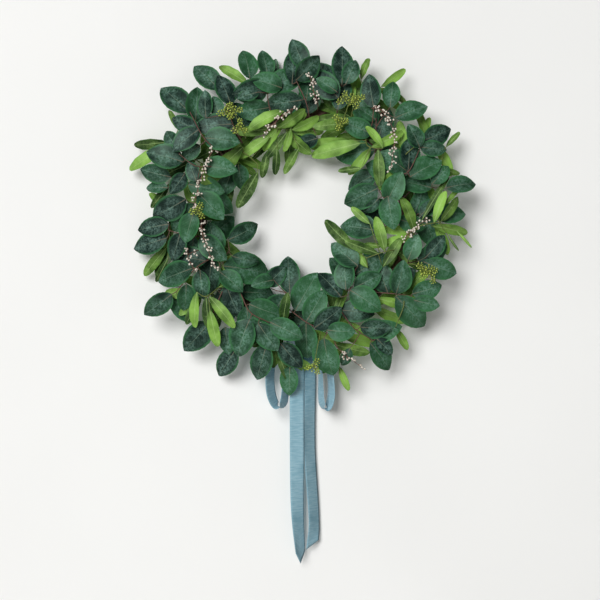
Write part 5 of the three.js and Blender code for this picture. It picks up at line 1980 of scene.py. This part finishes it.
@dataclass
class Bow(Part):
    """The ribbon: a turn round the vine, a knot, two loops and two tails. Sizes are in mm.

    Attributes:
        width: the ribbon's width.
        thickness: the cloth's thickness.
        columns: how many faces the cloth has across.
        rows_a_stop: how many rows of faces it has between two stops.
        band_steps: how many rows of faces a band has round the vine or the knot.
        band_half: half a band's width, where its gathers pull it in.
        tuck: width of a loop's hidden ends, as a share of the seen one.
        cut_rows: how many rows at a tail's end follow the shape of its cut.
    """

    width: float = 25.0
    thickness: float = 0.45
    columns: int = 8
    rows_a_stop: int = 12
    band_steps: int = 40
    band_half: float = 9.0
    tuck: float = 0.35
    cut_rows: int = 12

    def cloth(self, name: str, rows: Array, closed: bool) -> Thing:
        """Makes cloth from rows of points, with a map in metres and its thickness.

        Args:
            name: the piece's name.
            rows: the cloth's points, [row, column, 3], in mm.
            closed: whether the last row joins the first.

        Returns:
            The piece.
        """
        count, wide = rows.shape[:2]
        mesh = bpy.data.meshes.new(name)
        faces = []
        for i in range(count - 1):
            for j in range(wide - 1):
                a = i * wide + j
                faces.append((a, a + 1, a + wide + 1, a + wide))
        mesh.from_pydata([tuple(p * MM) for p in rows.reshape(-1, 3)], [], faces)
        run = run_of(rows[:, wide // 2]) * MM
        across = np.linspace(0, self.width * MM, wide)
        layer = mesh.uv_layers.new(name="cloth")
        for loop in mesh.loops:
            row, column = divmod(loop.vertex_index, wide)
            layer.data[loop.index].uv = (across[column], run[row])
        if closed:
            body = bmesh.new()
            body.from_mesh(mesh)
            bmesh.ops.remove_doubles(body, verts=body.verts, dist=1e-6)
            body.to_mesh(mesh)
            body.free()
        for face in mesh.polygons:
            face.use_smooth = True
        mesh.materials.append(self.paint)
        piece = linked(name, mesh)
        solid = piece.modifiers.new("Cloth thickness", "SOLIDIFY")
        solid.thickness = self.thickness * MM
        solid.offset = 0
        return piece

    def rows_of(self, stops: Sequence[Sequence[float]], ripple: float) -> Array:
        """Returns the cloth's rows along its stops, with the gathers where it is pinched."""
        values = np.array(stops, float)
        points = np.array([PICTURE.place(x, y, depth) for x, y, depth in values[:, :3]])
        count = (len(stops) - 1) * self.rows_a_stop
        at = np.linspace(0, 1, count + 1)
        middles = curve_at(points, at)
        step = 1e-4
        before, after = (curve_at(points, np.clip(at + off, 0, 1)) for off in (-step, step))
        along = unit(after - before)
        place = at * (len(stops) - 1)
        turn = np.radians(np.interp(place, range(len(stops)), values[:, 3]))
        half = np.interp(place, range(len(stops)), values[:, 4]) / 2
        across = np.stack([np.cos(turn), np.sin(turn), 0 * turn], axis=1)
        across = unit(across - along * (across * along).sum(axis=1, keepdims=True))
        normal = np.cross(along, across)
        rows = []
        for i in range(len(at)):
            pinch = max(0.0, 1 - 2 * half[i] / self.width)
            u = np.linspace(-1, 1, self.columns + 1)
            off = ripple * pinch * np.sin(2.5 * math.pi * u + 0.6)
            off = off + 0.35 * np.sin(at[i] * 19 + u * 1.3)
            rows.append(middles[i] + np.outer(u * half[i], across[i]) + np.outer(off, normal[i]))
        return np.array(rows)

    def build(self) -> None:
        """Makes the loops, the tails, the turn round the vine and the knot."""
        self.paint = RIBBON.build()
        for side, stops in (("left", LOOP_LEFT), ("right", LOOP_RIGHT)):
            rows = self.rows_of(stops, 3.0)
            first, last = rows[:1].copy(), rows[-1:].copy()
            first[..., 0] *= self.tuck
            last[..., 0] *= self.tuck
            rows = np.vstack([first, rows, last])
            self.lay(f"ribbon_loop_{side}_cloth", rows, "gathered", f"ribbon_loop_{side}")
        tails = (
            ("left", TAIL_LEFT, lambda u: 1 - np.abs(u), 20.0),
            ("right", TAIL_RIGHT, lambda u: (1 - u) / 2, 17.0),
        )
        for side, stops, cut, drop in tails:
            rows = self.pointed(self.rows_of(stops, 5.0), cut, drop)
            top = rows[:1].copy()
            top[..., 2] += 8
            top[..., 1] = top[..., 1] * 0.5 - 2
            rows = np.vstack([top, rows])
            self.lay(f"ribbon_tail_{side}_cloth", rows, "hung", f"ribbon_tail_{side}")
        low = PICTURE.ring_z - PICTURE.ring_radius
        turn, knot = self.band(0.0, low, 13.1, 13.1, 0.5), self.band(-4.0, low - 21, 11.8, 8.3, 1.0)
        self.lay("ribbon_turn_cloth", turn, "gathered", "ribbon_knot", closed=True)
        self.lay("ribbon_knot_cloth", knot, "gathered", "ribbon_knot", closed=True)

    def pointed(self, rows: Array, cut: Callable[[Array], Array], drop: float) -> Array:
        """Stretches the last rows down so that the end is cut to a shape.

        Args:
            rows: the tail's rows.
            cut: how far down the cut is at each place across, from -1 to 1.
            drop: the cut's height in mm.

        Returns:
            The rows with their cut end.
        """
        down = cut(np.linspace(-1, 1, rows.shape[1])) * drop
        for i in range(self.cut_rows):
            weight = ((i + 1) / self.cut_rows) ** 1.5
            rows[len(rows) - self.cut_rows + i, :, 2] -= down * weight
        return rows

    def band(self, y: float, z: float, deep: float, high: float, pleat: float) -> Array:
        """Makes a gathered band round an oval, pulled in at its two edges.

        Args:
            y: the oval's middle.
            z: the height of its middle.
            deep: half the oval's depth.
            high: half its height.
            pleat: how far the gathers stand out.

        Returns:
            The band's rows, the last one in the place of the first.
        """
        u = np.linspace(-1, 1, self.columns * 2 + 1)
        inward = 1 - 0.16 * np.abs(u) ** 3
        rows = []
        for i in range(self.band_steps):
            angle = TURN * i / self.band_steps
            fold = pleat * np.cos(3.5 * math.pi * u + 0.4 * math.sin(angle * 2))
            rise_y = (deep * inward + fold) * math.sin(angle)
            rise_z = (high * inward + fold) * math.cos(angle)
            rows.append(np.stack([u * self.band_half, y + rise_y, z + rise_z], axis=1))
        return np.array([*rows, rows[0]])

    def lay(self, name: str, rows: Array, held: str, node: str, closed: bool = False) -> None:
        """Makes a piece of cloth in place of its CAD node, and logs the size that it was cut to.

        Args:
            name: the piece's name.
            rows: its rows of points, in mm.
            held: how it is held; not used.
            node: the CAD node that it stands for.
            closed: whether its last row joins the first.
        """
        piece = self.keep(self.cloth(name, rows, closed), "ribbon", node)
        length = float(run_of(rows[:, rows.shape[1] // 2])[-1])
        LOG.info("%s: cut %.0f x %.0f mm", name, self.width, length)


# The room


@dataclass
class Studio:
    """The wall, the floor, the lights and the camera. Sizes are in metres.

    Attributes:
        wall_gap: from the wreath's back to the wall.
        floor_z: height of the floor.
        lens: focal length in mm that shows what the photograph shows.
    """

    wall_gap: float = 0.004
    floor_z: float = -1.25
    lens: float = 85.03

    def build(self, back: float) -> None:
        """Makes the room.

        Args:
            back: the wreath's rearmost Y.
        """
        upright = (math.pi / 2, 0, 0)
        wall = self.plane("wall", (0, back + self.wall_gap, 0.4), upright, 4, 1.65, WALL)
        wall.visible_shadow = False
        wall.visible_diffuse = False
        wall.visible_glossy = False
        self.plane("floor", (0, 0, self.floor_z), (0, 0, 0), 4, 4, FLOOR)
        self.light("key", (-4.4, -10.0, 3.8), 6.4, 1340)
        self.light("fill", (2.4, -4.4, -1.0), 2.0, 9)
        self.light("back_fill", (-1.8, 2.8, 1.2), 2.2, 50)
        world = bpy.data.worlds.new("studio")
        bpy.context.scene.world = world
        world.use_nodes = True
        sky = world.node_tree.nodes["Background"]
        sky.inputs["Color"].default_value = linear("#f4f6f8")
        sky.inputs["Strength"].default_value = 0.045
        camera = bpy.data.cameras.new("camera")
        camera.sensor_width = 36
        camera.lens = self.lens
        made = linked("camera", camera)
        aim_x, aim_z = PICTURE.aim()
        made.location = (aim_x * MM, -PICTURE.distance * MM, aim_z * MM)
        made.rotation_euler = upright
        bpy.context.scene.camera = made
        bpy.context.scene.view_settings.view_transform = "Standard"

    def plane(
        self, name: str, place: tuple, turn: tuple, half_x: float, half_y: float, finish: Finish
    ) -> Thing:
        """Makes one flat piece of the room."""
        mesh = bpy.data.meshes.new(name)
        signs = ((-1, -1), (1, -1), (1, 1), (-1, 1))
        corners = [(across * half_x, along * half_y, 0) for across, along in signs]
        mesh.from_pydata(corners, [], [(0, 1, 2, 3)])
        mesh.materials.append(finish.build())
        made = linked(name, mesh)
        made.location = place
        made.rotation_euler = turn
        made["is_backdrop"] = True
        return made

    def light(self, name: str, place: tuple, size: float, power: float) -> None:
        """Makes one soft light that looks at the wreath's middle."""
        lamp = bpy.data.lights.new(name, "AREA")
        lamp.size = size
        lamp.energy = power
        made = linked(name, lamp)
        made.location = place
        way = Vector((0, 0, -0.25)) - Vector(place)
        made.rotation_euler = way.to_track_quat("-Z", "Y").to_euler()


def clear_start() -> None:
    """Takes away what a new Blender file holds besides the CAD frame."""
    keep = {*frame["nodes"].values(), *frame["bodies"].values()}
    for made in list(bpy.data.objects):
        if made not in keep:
            bpy.data.objects.remove(made)


def main() -> None:
    """Builds the wreath's pieces in order, then the room around them."""
    logging.basicConfig(level=logging.INFO, format="%(name)s: %(message)s")
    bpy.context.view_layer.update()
    clear_start()
    stems, leaves, grains = StemTree(), LeafTree(), GrainTree()
    VineRing().build(stems)
    Foliage().build(leaves, stems)
    Blossom().build(stems, grains)
    Bow().build()
    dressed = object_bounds()
    Studio().build(dressed[1].y)


if __name__ == "__main__":
    main()
